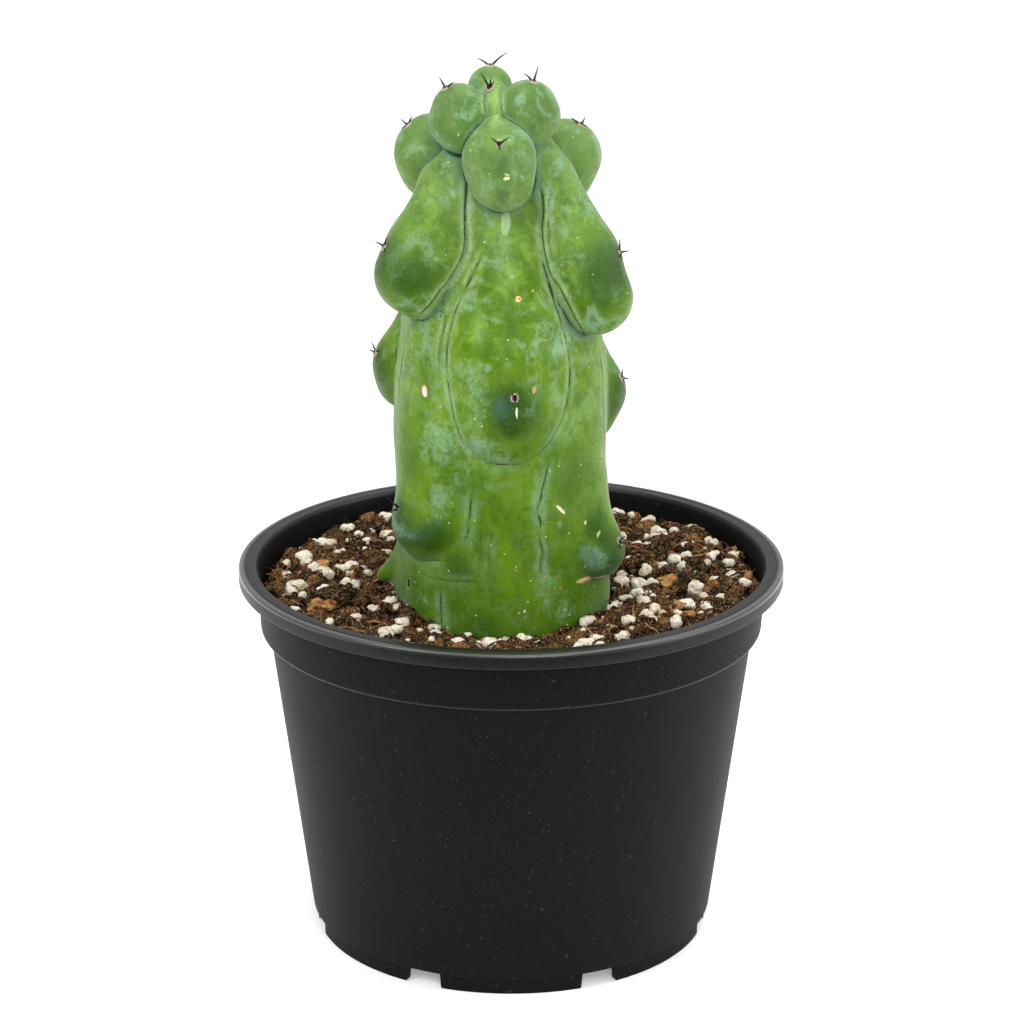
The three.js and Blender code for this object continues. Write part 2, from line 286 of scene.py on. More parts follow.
def skinRings(rings):
    # joins rings of points, each as [points, 3] or a single pole, into one closed shell
    points, faces, starts = [], [], []
    for ring in rings:
        starts.append(len(points))
        points.extend(np.atleast_2d(ring))
    for low, high, lowStart, highStart in zip(rings, rings[1:], starts, starts[1:]):
        lowCount, highCount = len(np.atleast_2d(low)), len(np.atleast_2d(high))
        for j in range(max(lowCount, highCount)):
            k = (j + 1) % max(lowCount, highCount)
            if lowCount == 1:
                faces.append((lowStart, highStart + k, highStart + j))
            elif highCount == 1:
                faces.append((lowStart + j, lowStart + k, highStart))
            else:
                faces.append((lowStart + j, lowStart + k, highStart + k, highStart + j))
    return np.array(points, float), faces


def softNoise(points, size, seed, octaves=1):
    # smooth random values from -1 to 1 at points; size is the width of one bump
    cells, octaveShift = 32, 7.3
    lattice = np.random.default_rng(seed).uniform(-1, 1, (cells, cells, cells))
    total = np.zeros(len(points))
    for octave in range(octaves):
        place = np.asarray(points) * (2 ** octave / size) + octaveShift * octave
        corner = np.floor(place).astype(int)
        part = place - corner
        part = part * part * (3 - 2 * part)
        for step in np.ndindex(2, 2, 2):
            share = np.prod(np.where(step, part, 1 - part), axis=1)
            index = (corner + step) % cells
            total += share * lattice[index[:, 0], index[:, 1], index[:, 2]] / 2 ** octave
    return total


def ease(values, low, high):
    # from 0 to 1 as the values go from low to high, eased at both ends
    share = np.clip((np.asarray(values) - low) / (high - low), 0, 1)
    return share * share * (3 - 2 * share)


# Stage: camera, floor and light

stage = {
    "camera": (0.22, -912, 423.8),
    "pitch": 18.386,
    "lens": 121.5,
    "floor": ((-9000, -260), (9000, 9000)),
    "floorGrain": 40,
    "floorGlow": 0.26,
    "roomLight": 0.75,  # from the sides and the back
    "frontLight": 0.1,  # from behind the camera
    "seenWhite": 1.05,  # the room as the camera sees it
    "lamps": {  # place, aimed at, width, watts
        "keyLamp": ((-1100, -900, 1250), (0, 0, 120), 900, 14.0),
        "fillLamp": ((250, -1700, 1000), (0, 0, 150), 1300, 22.0),
        "topLamp": ((150, 250, 1500), (0, 0, 100), 1300, 14.0),
        "sideLamp": ((1300, -300, 700), (0, 0, 120), 800, 6.0),
    },
}


def buildStage():
    scene = bpy.context.scene
    scene.view_settings.view_transform = "Standard"
    camera = bpy.data.objects.new("camera", bpy.data.cameras.new("camera"))
    camera.data.lens = stage["lens"]
    camera.data.clip_start, camera.data.clip_end = 0.05, 40
    camera.location = Vector(stage["camera"]) * metre
    camera.rotation_euler = (math.radians(90 - stage["pitch"]), 0, 0)
    scene.collection.objects.link(camera)
    scene.camera = camera

    world = bpy.data.worlds.new("paleRoom")
    scene.world = world
    world.use_nodes = True
    tree = NodeTree(world.node_tree)
    background = world.node_tree.nodes["Background"]
    seen = tree.add("ShaderNodeLightPath")["Is Camera Ray"]
    way = tree.add("ShaderNodeSeparateXYZ", None, {"Vector": tree.add("ShaderNodeTexCoord")["Generated"]})
    room = tree.fade(way["Y"], -0.95, 0.1, stage["frontLight"], stage["roomLight"])
    background.inputs["Color"].default_value = (1, 1, 1, 1)
    tree.feed(background.inputs["Strength"], room + seen * (stage["seenWhite"] - room))

    for name, (place, target, width, watts) in stage["lamps"].items():
        lamp = bpy.data.lights.new(name, "AREA")
        lamp.shape = "DISK"
        lamp.size = width * metre
        lamp.energy = watts
        made = bpy.data.objects.new(name, lamp)
        made.location = Vector(place) * metre
        made.rotation_euler = (Vector(target) - Vector(place)).to_track_quat("-Z", "Y").to_euler()
        scene.collection.objects.link(made)

    paper = Finish("whitePaper", Roughness=0.9, Specular_IOR_Level=0.1,
                   Emission_Color=(1, 1, 1, 1), Emission_Strength=stage["floorGlow"])
    grain = paper.noise(paper.place(), stage["floorGrain"])
    paper.vary("Base Color", paper.tint(paint(246, 246, 246), paint(249, 249, 249), grain))
    (left, front), (right, back) = stage["floor"]
    floor = objectFrom("floor", [(left, front, 0), (right, front, 0), (right, back, 0), (left, back, 0)],
                       [(0, 1, 2, 3)], [paper.material], smooth=False)


buildStage()
print("stage ready")


# Pot: one moulding turned from an outline, with notches and drain holes cut by a node tree

pot = {
    "segments": 224,
    "outline": [  # radius, height, rounding, from the underside's middle round to the floor's middle
        (0, 4.6, 0), (53.6, 4.6, 0.5), (53.6, 0, 0.35), (55.6, 0, 0.4), (55.6, 4.55, 0.12),
        (56.8, 4.95, 0.35), (67.7, 88.2, 0.35), (70.1, 89.0, 0.6), (71.1, 105.4, 0.8), (74.7, 105.4, 0.5),
        (74.7, 102.6, 0.45), (76, 102.6, 0.45), (76, 106.8, 1.25), (74.25, 106.8, 0.12),
        (74.05, 106.5, 0.12), (73.8, 106.75, 0.15), (71.1, 106.8, 0.3), (70.2, 104.6, 0.8), (69.3, 98, 1),
        (68.7, 90.4, 0.8), (66.3, 89.6, 0.8), (55.4, 8.2, 2.2), (53.4, 6.2, 0.4), (0, 6.2, 0)],
    "roundSteps": 4,
    "notches": 7,
    "notchRing": 54.6,
    "notchWidth": 10.4,
    "notchHeight": 4.4,
    "notchLip": 0.9,
    "holeRing": 44,
    "holeRadius": 4,
    "holeSides": 48,
    "edgeAngle": 38,
    "plastic": ((10, 10, 11), (14, 14, 15)),
    "grain": (40, 40, 40),
    "speck": (84, 84, 84),
    # where handling has polished it: a height or a distance from the axis, from dull to glossy
    "ledge": 88.9,
    "ledgeWidth": (0.9, 0.4),
    "lipHeight": (102, 102.6),
    "lipRadius": (73.8, 74.2),
    "topHeight": (105.5, 106.3),
    "shoulderRadius": (74.4, 75.1),
}


def roundedOutline(corners, steps):
    # the outline with each corner turned into a short curve
    points = [corners[0][:2]]
    for before, (radius, height, rounding), after in zip(corners, corners[1:], corners[2:]):
        here = np.array([radius, height], float)
        toward = [np.array(end[:2], float) - here for end in (before, after)]
        lengths = [np.linalg.norm(arm) for arm in toward]
        if rounding == 0:
            points.append(tuple(here))
            continue
        reach = min(rounding, 0.45 * min(lengths))
        ends = [here + arm / length * reach for arm, length in zip(toward, lengths)]
        for i in range(steps + 1):
            t = i / steps
            points.append(tuple((1 - t) ** 2 * ends[0] + 2 * t * (1 - t) * here + t * t * ends[1]))
    return points + [corners[-1][:2]]


def turned(outline, segments):
    turns = fullTurn(segments)
    rings = []
    for radius, height in outline:
        if radius < 1e-6:
            rings.append(np.array([[0, 0, height]], float))
        else:
            rings.append(np.stack([radius * np.cos(turns), radius * np.sin(turns),
                                   np.full(segments, height)], axis=1))
    return skinRings(rings)


def geometryTree(name, inputs):
    # a node tree for a modifier, with its named inputs as {name: a default number, or a kind of socket}
    tree = bpy.data.node_groups.new(name, "GeometryNodeTree")
    tree.interface.new_socket("Geometry", in_out="INPUT", socket_type="NodeSocketGeometry")
    tree.interface.new_socket("Geometry", in_out="OUTPUT", socket_type="NodeSocketGeometry")
    for key, value in inputs.items():
        kind = {int: "Int", float: "Float"}.get(type(value), value)
        socket = tree.interface.new_socket(key, in_out="INPUT", socket_type="NodeSocket" + kind)
        if kind != value:
            socket.default_value = value
    nodes = NodeTree(tree)
    return nodes, nodes.add("NodeGroupInput")


def closeTree(nodes, geometry):
    nodes.add("NodeGroupOutput", None, {0: geometry})
    return nodes.tree


def runTree(piece, tree, values):
    # puts the tree on the piece, sets its inputs by identifier, and returns the plain mesh it makes
    modifier = piece.modifiers.new(tree.name, "NODES")
    modifier.node_group = tree
    for socket in tree.interface.items_tree:
        if socket.in_out == "INPUT" and socket.name in values:
            modifier[socket.identifier] = values[socket.name]
    mesh = evaluated(piece)
    piece.modifiers.remove(modifier)
    for i in reversed(range(len(mesh.materials))):
        if mesh.materials[i] is None:
            mesh.materials.pop(index=i)
    return mesh


def drainageTree():
    nodes, given = geometryTree("potDrainage", {
        "Cutter": "Object", "Notches": 7, "Notch Ring": 0.05,
        "Hole Ring": 0.04, "Hole Radius": 0.004, "First Turn": 0.0})
    cutter = nodes.add("GeometryNodeObjectInfo", None, {"Object": given["Cutter"]})["Geometry"]
    drill = nodes.add("GeometryNodeMeshCylinder", None, {
        "Vertices": pot["holeSides"], "Radius": given["Hole Radius"], "Depth": 0.02})["Mesh"]
    rings = []
    for tool, radius in ((cutter, given["Notch Ring"]), (drill, given["Hole Ring"])):
        circle = nodes.add("GeometryNodeMeshCircle", None, {"Vertices": given["Notches"], "Radius": radius})
        index = nodes.add("GeometryNodeInputIndex")["Index"]
        turn = index * (2 * math.pi) / given["Notches"] + given["First Turn"]
        places = nodes.add("GeometryNodeTransform", None, {
            "Geometry": circle["Mesh"], "Rotation": nodes.turnsOf(Z=given["First Turn"])})["Geometry"]
        rings.append(nodes.copies(places, tool, Rotation=nodes.turnsOf(Z=turn)))
    cut = nodes.add("GeometryNodeMeshBoolean", {"operation": "DIFFERENCE"}, {
        "Mesh 1": given["Geometry"], "Mesh 2": nodes.joined((*rings, drill))})["Mesh"]
    return closeTree(nodes, cut)


def notchCutter():
    # along X through the foot ring; its lower edges flare out, as the moulding's do
    half, top, lip = pot["notchWidth"] / 2, pot["notchHeight"], pot["notchLip"]
    side = [(half + lip, -1.0), (half + lip, 0.0), (half + 0.45 * lip, 0.15 * lip),
            (half + 0.12 * lip, 0.5 * lip), (half, lip), (half - 0.25, top - 0.25), (half - 0.5, top)]
    outline = side + [(-across, height) for across, height in reversed(side)]
    count = len(outline)
    points = [(reach, across, height) for reach in (-4, 4) for across, height in outline]
    faces = [tuple(range(count))[::-1], tuple(range(count, 2 * count))]
    faces += [(i, (i + 1) % count, count + (i + 1) % count, count + i) for i in range(count)]
    return objectFrom("notchCutter", points, faces, [], smooth=False)


def potMaterial():
    tree = Finish(
        "charcoalPlastic", Specular_IOR_Level=0.08, Coat_Roughness=0.34, Coat_IOR=1.5)
    place = tree.place()
    cloud = tree.noise(place, 28, detail=3)
    grain = tree.noise(place, 0.55, detail=2, rough=0.6)
    speck = tree.fade(tree.noise(place, 1.1, detail=1), 0.71, 0.76)
    scuff = tree.fade(tree.noise(tree.stretch(place, (1, 1, 0.12)), 1.6, detail=3, warp=0.6), 0.66, 0.8)
    colour = tree.tint(*(paint(*shade) for shade in pot["plastic"]), cloud)
    colour = tree.tint(colour, paint(*pot["grain"]), tree.fade(grain, 0.5, 0.8) * 0.3)
    colour = tree.tint(colour, paint(*pot["speck"]), speck * 0.25 + scuff * 0.06)
    tree.vary("Roughness", 0.46 + cloud * 0.08 + grain * 0.08 - scuff * 0.1)

    def across(value, key):
        dull, glossy = pot[key]
        return tree.fade(value, dull * metre, glossy * metre)

    # the rim and the ledge below it are polished by handling
    height = tree.height(place)
    radius = tree.vectors("LENGTH", tree.stretch(place, (1, 1, 0)))
    ledge = across(tree.maths("ABSOLUTE", height - pot["ledge"] * metre), "ledgeWidth")
    lip = across(height, "lipHeight") * across(radius, "lipRadius") * 0.38
    top = across(height, "topHeight") * (0.5 + across(radius, "shoulderRadius") * 0.95)
    tree.vary("Coat Weight", (lip + top + ledge * 0.4) * (0.8 + grain * 0.4))
    return tree.coat(colour, grain, 0.12, 0.55)


def buildPot():
    plastic = potMaterial()
    points, faces = turned(roundedOutline(pot["outline"], pot["roundSteps"]), pot["segments"])
    blank = objectFrom("potBlank", points, faces, [plastic])
    cutter = notchCutter()
    mesh = runTree(blank, drainageTree(), {
        "Cutter": cutter, "Notches": pot["notches"], "Notch Ring": pot["notchRing"] * metre,
        "Hole Ring": pot["holeRing"] * metre, "Hole Radius": pot["holeRadius"] * metre,
        "First Turn": math.pi / 2})
    for spare in (blank, cutter):
        bpy.data.objects.remove(spare)
    mesh.set_sharp_from_angle(angle=math.radians(pot["edgeAngle"]))
    settle(linked("nursery_pot", mesh), "pot_plastic", "pot")


buildPot()
print("pot ready")


# Stem: a distance field of a column and its tubercles, turned into a mesh

stem = {
    "axis": (-2.7, -10),
    "lean": 2.3,  # the crown leans this far to the left between the two heights
    "leanHeights": (205, 240),
    "column": [  # height, radius
        (72, 10), (78, 20), (86, 26), (96, 28.2), (110, 28.4), (130, 28.9), (150, 29.2), (165, 28.6),
        (180, 26.5), (195, 23.5), (210, 19.5), (222, 16), (232, 11.5), (238, 6.5), (240, 4)],
    "columnEase": 5,
    "columnSlope": 0.8,
    "chainBlend": 3,
    "besideBlend": 4,
    "cell": 0.78,
    "refine": (2.0, 1.0),  # reaches within which creases get smaller triangles
    "hollowAt": 0.72,  # a crease, groove or lip counts from these shares on
    "grooveAt": 0.02,
    "lipAt": 0.75,
    "triangles": 188000,
    "box": ((-44, -54, 70), (40, 32, 252)),
    "lumps": ((15, 0.4, 5), (6, 0.1, 6)),  # width, height, seed
    "ribs": (6, 0.35, (89, 104), (140, 160)),  # count, height, heights where they begin and end
}

# turn: the rib's angle from the front towards the right. spheres: distance from the stem's axis, height,
# radius, upper first. beside: more such chains in the same tubercle, as (turn, spheres). blend: how softly
# the top and the chin run into the column. areole: the sphere it sits on, the way it faces, its rise.
tubercles = {
    "crown_back": {"turn": -170, "spheres": [(3.6, 239.3, 6.4), (3.2, 241.4, 6.1)], "blend": (0.5, 0.4),
                   "areole": (1, 10, 85)},
    "crown_rear": {"turn": 178, "spheres": [(9.5, 236.5, 5.4), (13.2, 231, 7.2)], "blend": (0.5, 0.4),
                   "areole": (1, 176, 34)},
    "crown_tip": {"turn": 5, "spheres": [(3, 238.8, 4.2), (3.2, 239.7, 3.4)], "blend": (0.5, 0.4),
                  "beside": [(5, [(2.6, 240.8, 3.4), (8.2, 234.8, 3.6)])], "areole": (1, -20, 52)},
    "crown_left": {"turn": -54, "spheres": [(11, 237.3, 7.4), (11.4, 234.9, 7.9)],
                   "beside": [(-40, [(11, 237.4, 5.4), (11.8, 235, 5.6)]),
                              (-32, [(12.4, 235, 4.6), (13.4, 231.8, 4.4)])],
                   "blend": (0.6, 0.3), "areole": (1, -60, 68)},
    "crown_right": {"turn": 57, "spheres": [(11.5, 238, 7.4), (11.8, 235.9, 8)],
                    "beside": [(43, [(12, 238.6, 5.6), (12.8, 236.2, 5.4)]),
                               (32, [(12.4, 236.5, 4.6), (13.4, 233.4, 4.6)])],
                    "blend": (0.6, 0.3), "areole": (1, 21, 76)},
    "crown_front": {"turn": 4, "spheres": [(13.2, 233, 4.4), (17.6, 226.8, 8.9), (19.6, 221.6, 8.3)],
                    "blend": (0.6, 0.3), "areole": (1, 0, 36)},
    "crown_back_left": {"turn": -113, "spheres": [(16.3, 226.6, 5.9), (18.6, 223, 9.8), (18.6, 219, 9.2)],
                        "blend": (0.6, 0.3), "areole": (1, -71, 49)},
    "crown_back_right": {"turn": 113, "spheres": [(17, 226, 5.9), (20, 222.3, 9.1), (18.8, 217, 7.8)],
                         "blend": (0.6, 0.3), "areole": (1, 62, 62)},
    "upper_left": {"turn": -58, "spheres": [(12.8, 225, 3.6), (17, 218, 6), (23.4, 200.5, 10.6),
                                            (27.2, 195, 9.8), (24.6, 191, 8.3)],
                   "beside": [(-48, [(12.6, 220, 5.6), (21.8, 204, 7.4), (21.6, 201.3, 5.8)])],
                   "blend": (0.6, 0.3), "areole": (2, -70, 13)},
    "upper_right": {"turn": 60, "spheres": [(13, 229.5, 3.6), (16.6, 220.2, 5.6), (24, 198.6, 10.3),
                                            (29.4, 188.4, 9.7)],
                    "beside": [(50, [(13.6, 223, 5.6), (23.5, 202, 6.6), (25, 193, 6)])],
                    "blend": (0.6, 0.3), "areole": (2, 76, 13)},
    "upper_back": {"turn": 180, "spheres": [(16.5, 220.5, 7), (24.8, 199, 11.4), (28.8, 189.5, 8.2)],
                   "blend": (0.6, 0.3), "areole": (1, 178, 16)},
    "middle_front": {"turn": 3, "spheres": [(12, 201, 10), (14.6, 174, 17.2), (18, 159, 16.1)],
                     "blend": (3, 0.6), "areole": (2, 10, 26)},
    "middle_left": {"turn": -110, "spheres": [(22, 179, 6), (26.8, 164, 9.6), (27.7, 159.2, 8.2)],
                    "blend": (1.5, 0.6), "areole": (1, -70, 22)},
    "middle_right": {"turn": 110, "spheres": [(21.5, 173, 6), (25.8, 156, 9.4), (25.3, 149.8, 7.8)],
                     "blend": (1.5, 0.6), "areole": (1, 72, 28)},
    "lower_left": {"turn": -50, "spheres": [(18, 147.9, 10.8), (22.3, 127.2, 12.1)], "blend": (8, 1),
                   "areole": (1, -66, 20)},
    "lower_right": {"turn": 67, "spheres": [(19, 130.6, 10.3), (28, 116.9, 7.9)], "blend": (6, 0.6),
                    "areole": (1, 59, 26)},
    "lower_back": {"turn": 180, "spheres": [(18, 147, 10.8), (22.5, 124, 11.7)], "blend": (8, 1),
                   "areole": (1, 183, 22)},
    "base_left": {"turn": -95, "spheres": [(20, 111.5, 8), (32.8, 104.8, 2.4)],
                  "beside": [(-86, [(20, 105, 8), (25, 101.4, 4)])],
                  "blend": (6, 3), "areole": (0, -18, -14)},
    "base_right": {"turn": 98, "spheres": [(13, 124, 13), (15.4, 102, 15.2)], "blend": (6, 4),
                   "areole": (1, 116, 10)},
}

# Folds of the skin, drawn on the side that faces a turn as (across from the stem's axis, height) points.
# groove is the line's depth and half width. left and right are how far the skin rises on that side of the
# line, looked at from outside along it, and how far back that rise reaches. snap lets the line slide that far
# into the nearest valley between two tubercles.
usualFold = {"facing": 0, "left": (0.1, 1), "right": (0.1, 1)}
folds = [
    # beside the tip between the two side tubercles of the crown
    {"groove": (0.3, 0.35), "snap": 0.9,
     "path": [(-3.9, 243.2), (-4.1, 241.5), (-4.1, 239), (-3.7, 236.6)]},
    {"groove": (0.3, 0.35), "snap": 0.9, "path": [(-0.7, 243.2), (-0.3, 241.5), (0.2, 239), (0.6, 236.8)]},
    # inner edges of the two upper tubercles
    {"groove": (0.4, 0.4), "left": (0.35, 0.9), "right": (0.3, 2), "snap": 1.2,
     "path": [(-10, 222), (-9.5, 215.6), (-9.2, 210.8), (-9.4, 206.3), (-10.1, 203.2), (-11.5, 199.8),
              (-13.5, 196.3), (-15.8, 192.4), (-18.5, 188.6), (-22, 184.8)]},
    {"groove": (0.2, 0.35), "left": (0, 1), "right": (0.1, 1.2),
     "path": [(-11.6, 223), (-11.6, 219), (-10.6, 215.5)]},
    {"groove": (0.2, 0.35), "left": (0, 1), "right": (0.15, 1.5),
     "path": [(-9.6, 217.3), (-11.6, 216.5), (-13.6, 215.2)]},
    {"groove": (0.35, 0.4), "left": (0.3, 2), "right": (0.25, 0.8), "snap": 0.7,
     "path": [(10.5, 219.5), (10.9, 215.6), (11.1, 210.7), (11.4, 205.9), (12.1, 201.3), (13.2, 197.4),
              (15, 194), (17.4, 189.4), (20, 184), (22.6, 179.4)]},
    {"groove": (0.2, 0.3), "right": (0.2, 0.5),
     "path": [(12.2, 221), (12.4, 215.7), (12.4, 210.9), (12.5, 206.1), (13, 202.4), (14, 199.1)]},
    # round the middle tubercle
    {"groove": (0.35, 0.4), "left": (0.4, 2.5), "right": (0.25, 1),
     "path": [(-4.4, 204), (-5.4, 201.6), (-7.1, 198.1), (-9, 194.2), (-11, 189.9), (-12.6, 185.7),
              (-13.6, 181), (-14.2, 175.5), (-14, 170), (-13.2, 165), (-12.3, 160), (-11, 155.5),
              (-9, 151.6), (-6.4, 148.9)]},
    {"groove": (0.3, 0.4), "path": [(-7.3, 203.4), (-7.5, 200.4), (-7.6, 197.4)]},
    {"groove": (0.25, 0.4), "left": (0.2, 1.2),
     "path": [(-8.8, 196), (-11.4, 191.5), (-13.5, 187), (-15.2, 181.5), (-16.2, 175.5), (-16, 168)]},
    {"groove": (0.3, 0.35), "left": (0.2, 1), "right": (0.35, 3),
     "path": [(10.6, 200.5), (11.8, 197.3), (12.8, 193.3), (14.2, 188.9), (15.7, 184.6), (16.9, 180.3),
              (17.8, 175.5), (18.2, 170.8), (17.9, 164.8), (16.8, 159.8), (14.9, 155.3), (11.9, 151),
              (8.3, 148)]},
    {"groove": (0.15, 0.4), "right": (0.3, 3),
     "path": [(9.5, 148.4), (5, 147.3), (1, 147.4), (-3.4, 147.2), (-8, 149)]},
    {"groove": (0.2, 0.4), "right": (0.15, 1.5),
     "path": [(20.4, 157.6), (18.7, 153.9), (16.6, 151), (15.3, 148.4)]},
    # grooves between the lower ribs
    {"groove": (0.35, 0.28), "left": (0.12, 1.2), "right": (0.12, 1.2),
     "path": [(12.9, 148.6), (12, 142.9), (11, 139), (10.6, 136.5), (9.6, 133), (10.6, 130), (10.2, 126)]},
    {"groove": (0.3, 0.26), "path": [(9.8, 128.5), (10.4, 124.6), (11.2, 121.5), (10.6, 117), (11.4, 113)]},
    {"groove": (0.3, 0.35), "left": (0.12, 1.5), "right": (0.1, 1.5),
     "path": [(-7.3, 141), (-8, 136.2), (-8.4, 131.2), (-8.9, 127.2), (-10.4, 122)]},
    {"groove": (0.25, 0.3), "path": [(-2.2, 128.5), (-3, 123), (-3.1, 118), (-3.8, 113)]},
    {"groove": (0.3, 0.28), "right": (0.12, 1),
     "path": [(-16.9, 111), (-16.6, 106), (-16.5, 101), (-15.6, 96)]},
    {"groove": (0.15, 0.3), "left": (0.12, 1),
     "path": [(-25.5, 114.2), (-22.5, 112.8), (-19, 112.2), (-14.5, 112.2), (-9.5, 112.9), (-5, 114)]},
    {"facing": -40, "groove": (0.25, 0.35), "snap": 1.5,
     "path": [(-16.5, 118.8), (-11, 117.8), (-6, 117.2), (-1, 117.2), (4, 118)]},
    # long folds on the sides
    {"facing": -70, "groove": (0.4, 0.45), "left": (0.3, 1.2), "right": (0.3, 1.5),
     "path": [(-4.6, 180), (-5.3, 173), (-5.6, 166), (-5.2, 160), (-4.8, 152), (-5.5, 141)]},
    {"facing": -70, "groove": (0.3, 0.4), "left": (0.3, 1.2), "right": (0.3, 1),
     "path": [(0.2, 178), (-0.2, 170), (-0.6, 161), (-0.1, 152), (0.4, 143)]},
    {"facing": 70, "groove": (0.4, 0.45), "left": (0.3, 1), "right": (0.3, 1.2),
     "path": [(0.6, 174), (0.9, 167), (0.6, 160), (1.4, 151), (1, 143)]},
    {"facing": 70, "groove": (0.4, 0.45), "left": (0.3, 1.2), "right": (0.3, 1),
     "path": [(5.4, 174), (5.4, 167), (5.8, 160), (6.4, 154), (5.8, 145)]},
    # the back, like the front
    {"facing": 178, "groove": (0.45, 0.45), "left": (0.6, 2.5), "right": (0.3, 1),
     "path": [(-7, 184), (-9.6, 179), (-11.8, 173), (-13, 166), (-13.2, 159), (-11.6, 152)]},
    {"facing": 178, "groove": (0.45, 0.45), "left": (0.3, 1), "right": (0.6, 2.5),
     "path": [(7.4, 184), (9.8, 178.5), (12, 172), (13.4, 165), (13.2, 158), (11.2, 151)]},
    {"facing": 178, "groove": (0.15, 0.4), "left": (0.3, 3),
     "path": [(-9.5, 149), (-4, 145.6), (1.6, 144.9), (7.4, 146.6)]},
    {"facing": 120, "groove": (0.35, 0.45), "left": (0.2, 1.5), "right": (0.2, 1.5),
     "path": [(-12.5, 213), (-13.6, 205), (-13.2, 196), (-14.2, 187), (-13.6, 178)]},
    {"facing": -120, "groove": (0.35, 0.45), "left": (0.2, 1.5), "right": (0.2, 1.5),
     "path": [(12.5, 213), (13.4, 204), (13, 195), (14, 186), (13.2, 177)]},
    {"facing": 150, "groove": (0.3, 0.45), "left": (0.15, 1.2), "right": (0.15, 1.2),
     "path": [(2.6, 141), (2, 132), (2.8, 123), (2.2, 112)]},
    {"facing": -150, "groove": (0.3, 0.45), "left": (0.15, 1.2), "right": (0.15, 1.2),
     "path": [(-2.6, 143), (-3.2, 134), (-2.2, 125), (-3, 113)]},
]


def stemAxisX(height):
    return stem["axis"][0] - stem["lean"] * ease(height, *stem["leanHeights"])


def facingVector(turn, up=0.0):
    # outwards at an angle from the front towards the right, rising by up degrees
    turn, up = math.radians(turn), math.radians(up)
    return np.array([math.sin(turn) * math.cos(up), -math.cos(turn) * math.cos(up), math.sin(up)])


def sphereCentre(turn, distance, height):
    axis = np.array([stemAxisX(height), stem["axis"][1], height])
    return axis + distance * facingVector(turn)


def smoothUnion(first, second, blend):
    # the nearer of two distances, rounded over where they are about the same
    overlap = np.maximum(blend - np.abs(first - second), 0) / blend
    return np.minimum(first, second) - overlap * overlap * blend / 4


def coneField(points, start, end, startRadius, endRadius):
    # distance to two spheres and the cone that touches both, and how far along each point lies
    along = end - start
    length = along @ along
    taper = startRadius - endRadius
    side = length - taper * taper
    away = points - start
    y = away @ along
    z = y - length
    across = away * length - y[:, None] * along
    x = np.einsum("ij,ij->i", across, across)
    sign = np.sign(taper) * taper * taper * x
    field = (np.sqrt(x * side / length) + y * taper) / length - startRadius
    atStart = np.sqrt(x + y * y * length) / length - startRadius
    atEnd = np.sqrt(x + z * z * length) / length - endRadius
    field = np.where(np.sign(y) * side * y * y * length < sign, atStart, field)
    field = np.where(np.sign(z) * side * z * z * length > sign, atEnd, field)
    return field, np.clip(y / length, 0, 1)


def easedColumn():
    # the column's radius at closely spaced heights, with its corners smoothed away
    heights = np.arange(72, 240.5, 0.5)
    radii = np.interp(heights, *zip(*stem["column"]))
    reach = int(stem["columnEase"] * 2)
    for _ in range(2):
        padded = np.concatenate([np.full(reach, radii[0]), radii, np.full(reach, radii[-1])])
        radii = np.convolve(padded, np.full(2 * reach + 1, 1 / (2 * reach + 1)), "valid")
    return heights, radii


columnHeights, columnRadii = easedColumn()


def columnField(x, y, z):
    # distances inside a tapered column are a little shorter than the sideways ones
    radius = np.interp(z, columnHeights, columnRadii)
    sideways = (np.hypot(x - stemAxisX(z), y - stem["axis"][1]) - radius) * stem["columnSlope"]
    beyond = np.maximum(z - columnHeights[-1], columnHeights[0] - z)
    return np.maximum(sideways, beyond)


def chainField(points, turn, spheres):
    # a row of spheres joined by cones, and how far along the row each point lies
    centres = [sphereCentre(turn, distance, height) for distance, height, _ in spheres]
    radii = [radius for _, _, radius in spheres]
    last = len(spheres) - 1
    field = share = None
    for i in range(last):
        part, along = coneField(points, centres[i], centres[i + 1], radii[i], radii[i + 1])
        along = (i + along) / last
        if field is None:
            field, share = part, along
        else:
            share = np.where(part < field, along, share)
            field = smoothUnion(field, part, stem["chainBlend"])
    return field, share


def tubercleField(points, tubercle):
    field, share = chainField(points, tubercle["turn"], tubercle["spheres"])
    for turn, spheres in tubercle.get("beside", ()):
        field = smoothUnion(field, chainField(points, turn, spheres)[0], stem["besideBlend"])
    neck, chin = tubercle["blend"]
    return field, neck + (chin - neck) * share


def tubercleBox(tubercle, margin):
    chains = [(tubercle["turn"], tubercle["spheres"]), *tubercle.get("beside", ())]
    places = [sphereCentre(turn, distance, height)
              for turn, spheres in chains for distance, height, _ in spheres]
    largest = max(radius for _, spheres in chains for _, _, radius in spheres)
    reach = largest + max(tubercle["blend"]) + margin
    return np.min(places, axis=0) - reach, np.max(places, axis=0) + reach


nearSkin, nearAbove = 4, 6  # how far out points near the skin, and points just above it, may lie


def stemField(points, near=None):
    # for points close to the skin, near leaves out the tubercles that lie further from a point than that
    field = columnField(points[:, 0], points[:, 1], points[:, 2])
    for tubercle in tubercles.values():
        if near is None:
            part, blend = tubercleField(points, tubercle)
            field = smoothUnion(field, part, blend)
            continue
        low, high = tubercleBox(tubercle, near)
        inside = np.flatnonzero(np.all((points > low) & (points < high), axis=1))
        if len(inside):
            part, blend = tubercleField(points[inside], tubercle)
            field[inside] = smoothUnion(field[inside], part, blend)
    return field


def unitRows(rows):
    return rows / np.maximum(np.linalg.norm(rows, axis=1, keepdims=True), 1e-6)


def stemNormals(points, step=0.12):
    corners = np.array([(1, -1, -1), (-1, -1, 1), (-1, 1, -1), (1, 1, 1)], float)
    return unitRows(sum(corner * stemField(points + corner * step, nearSkin)[:, None] for corner in corners))


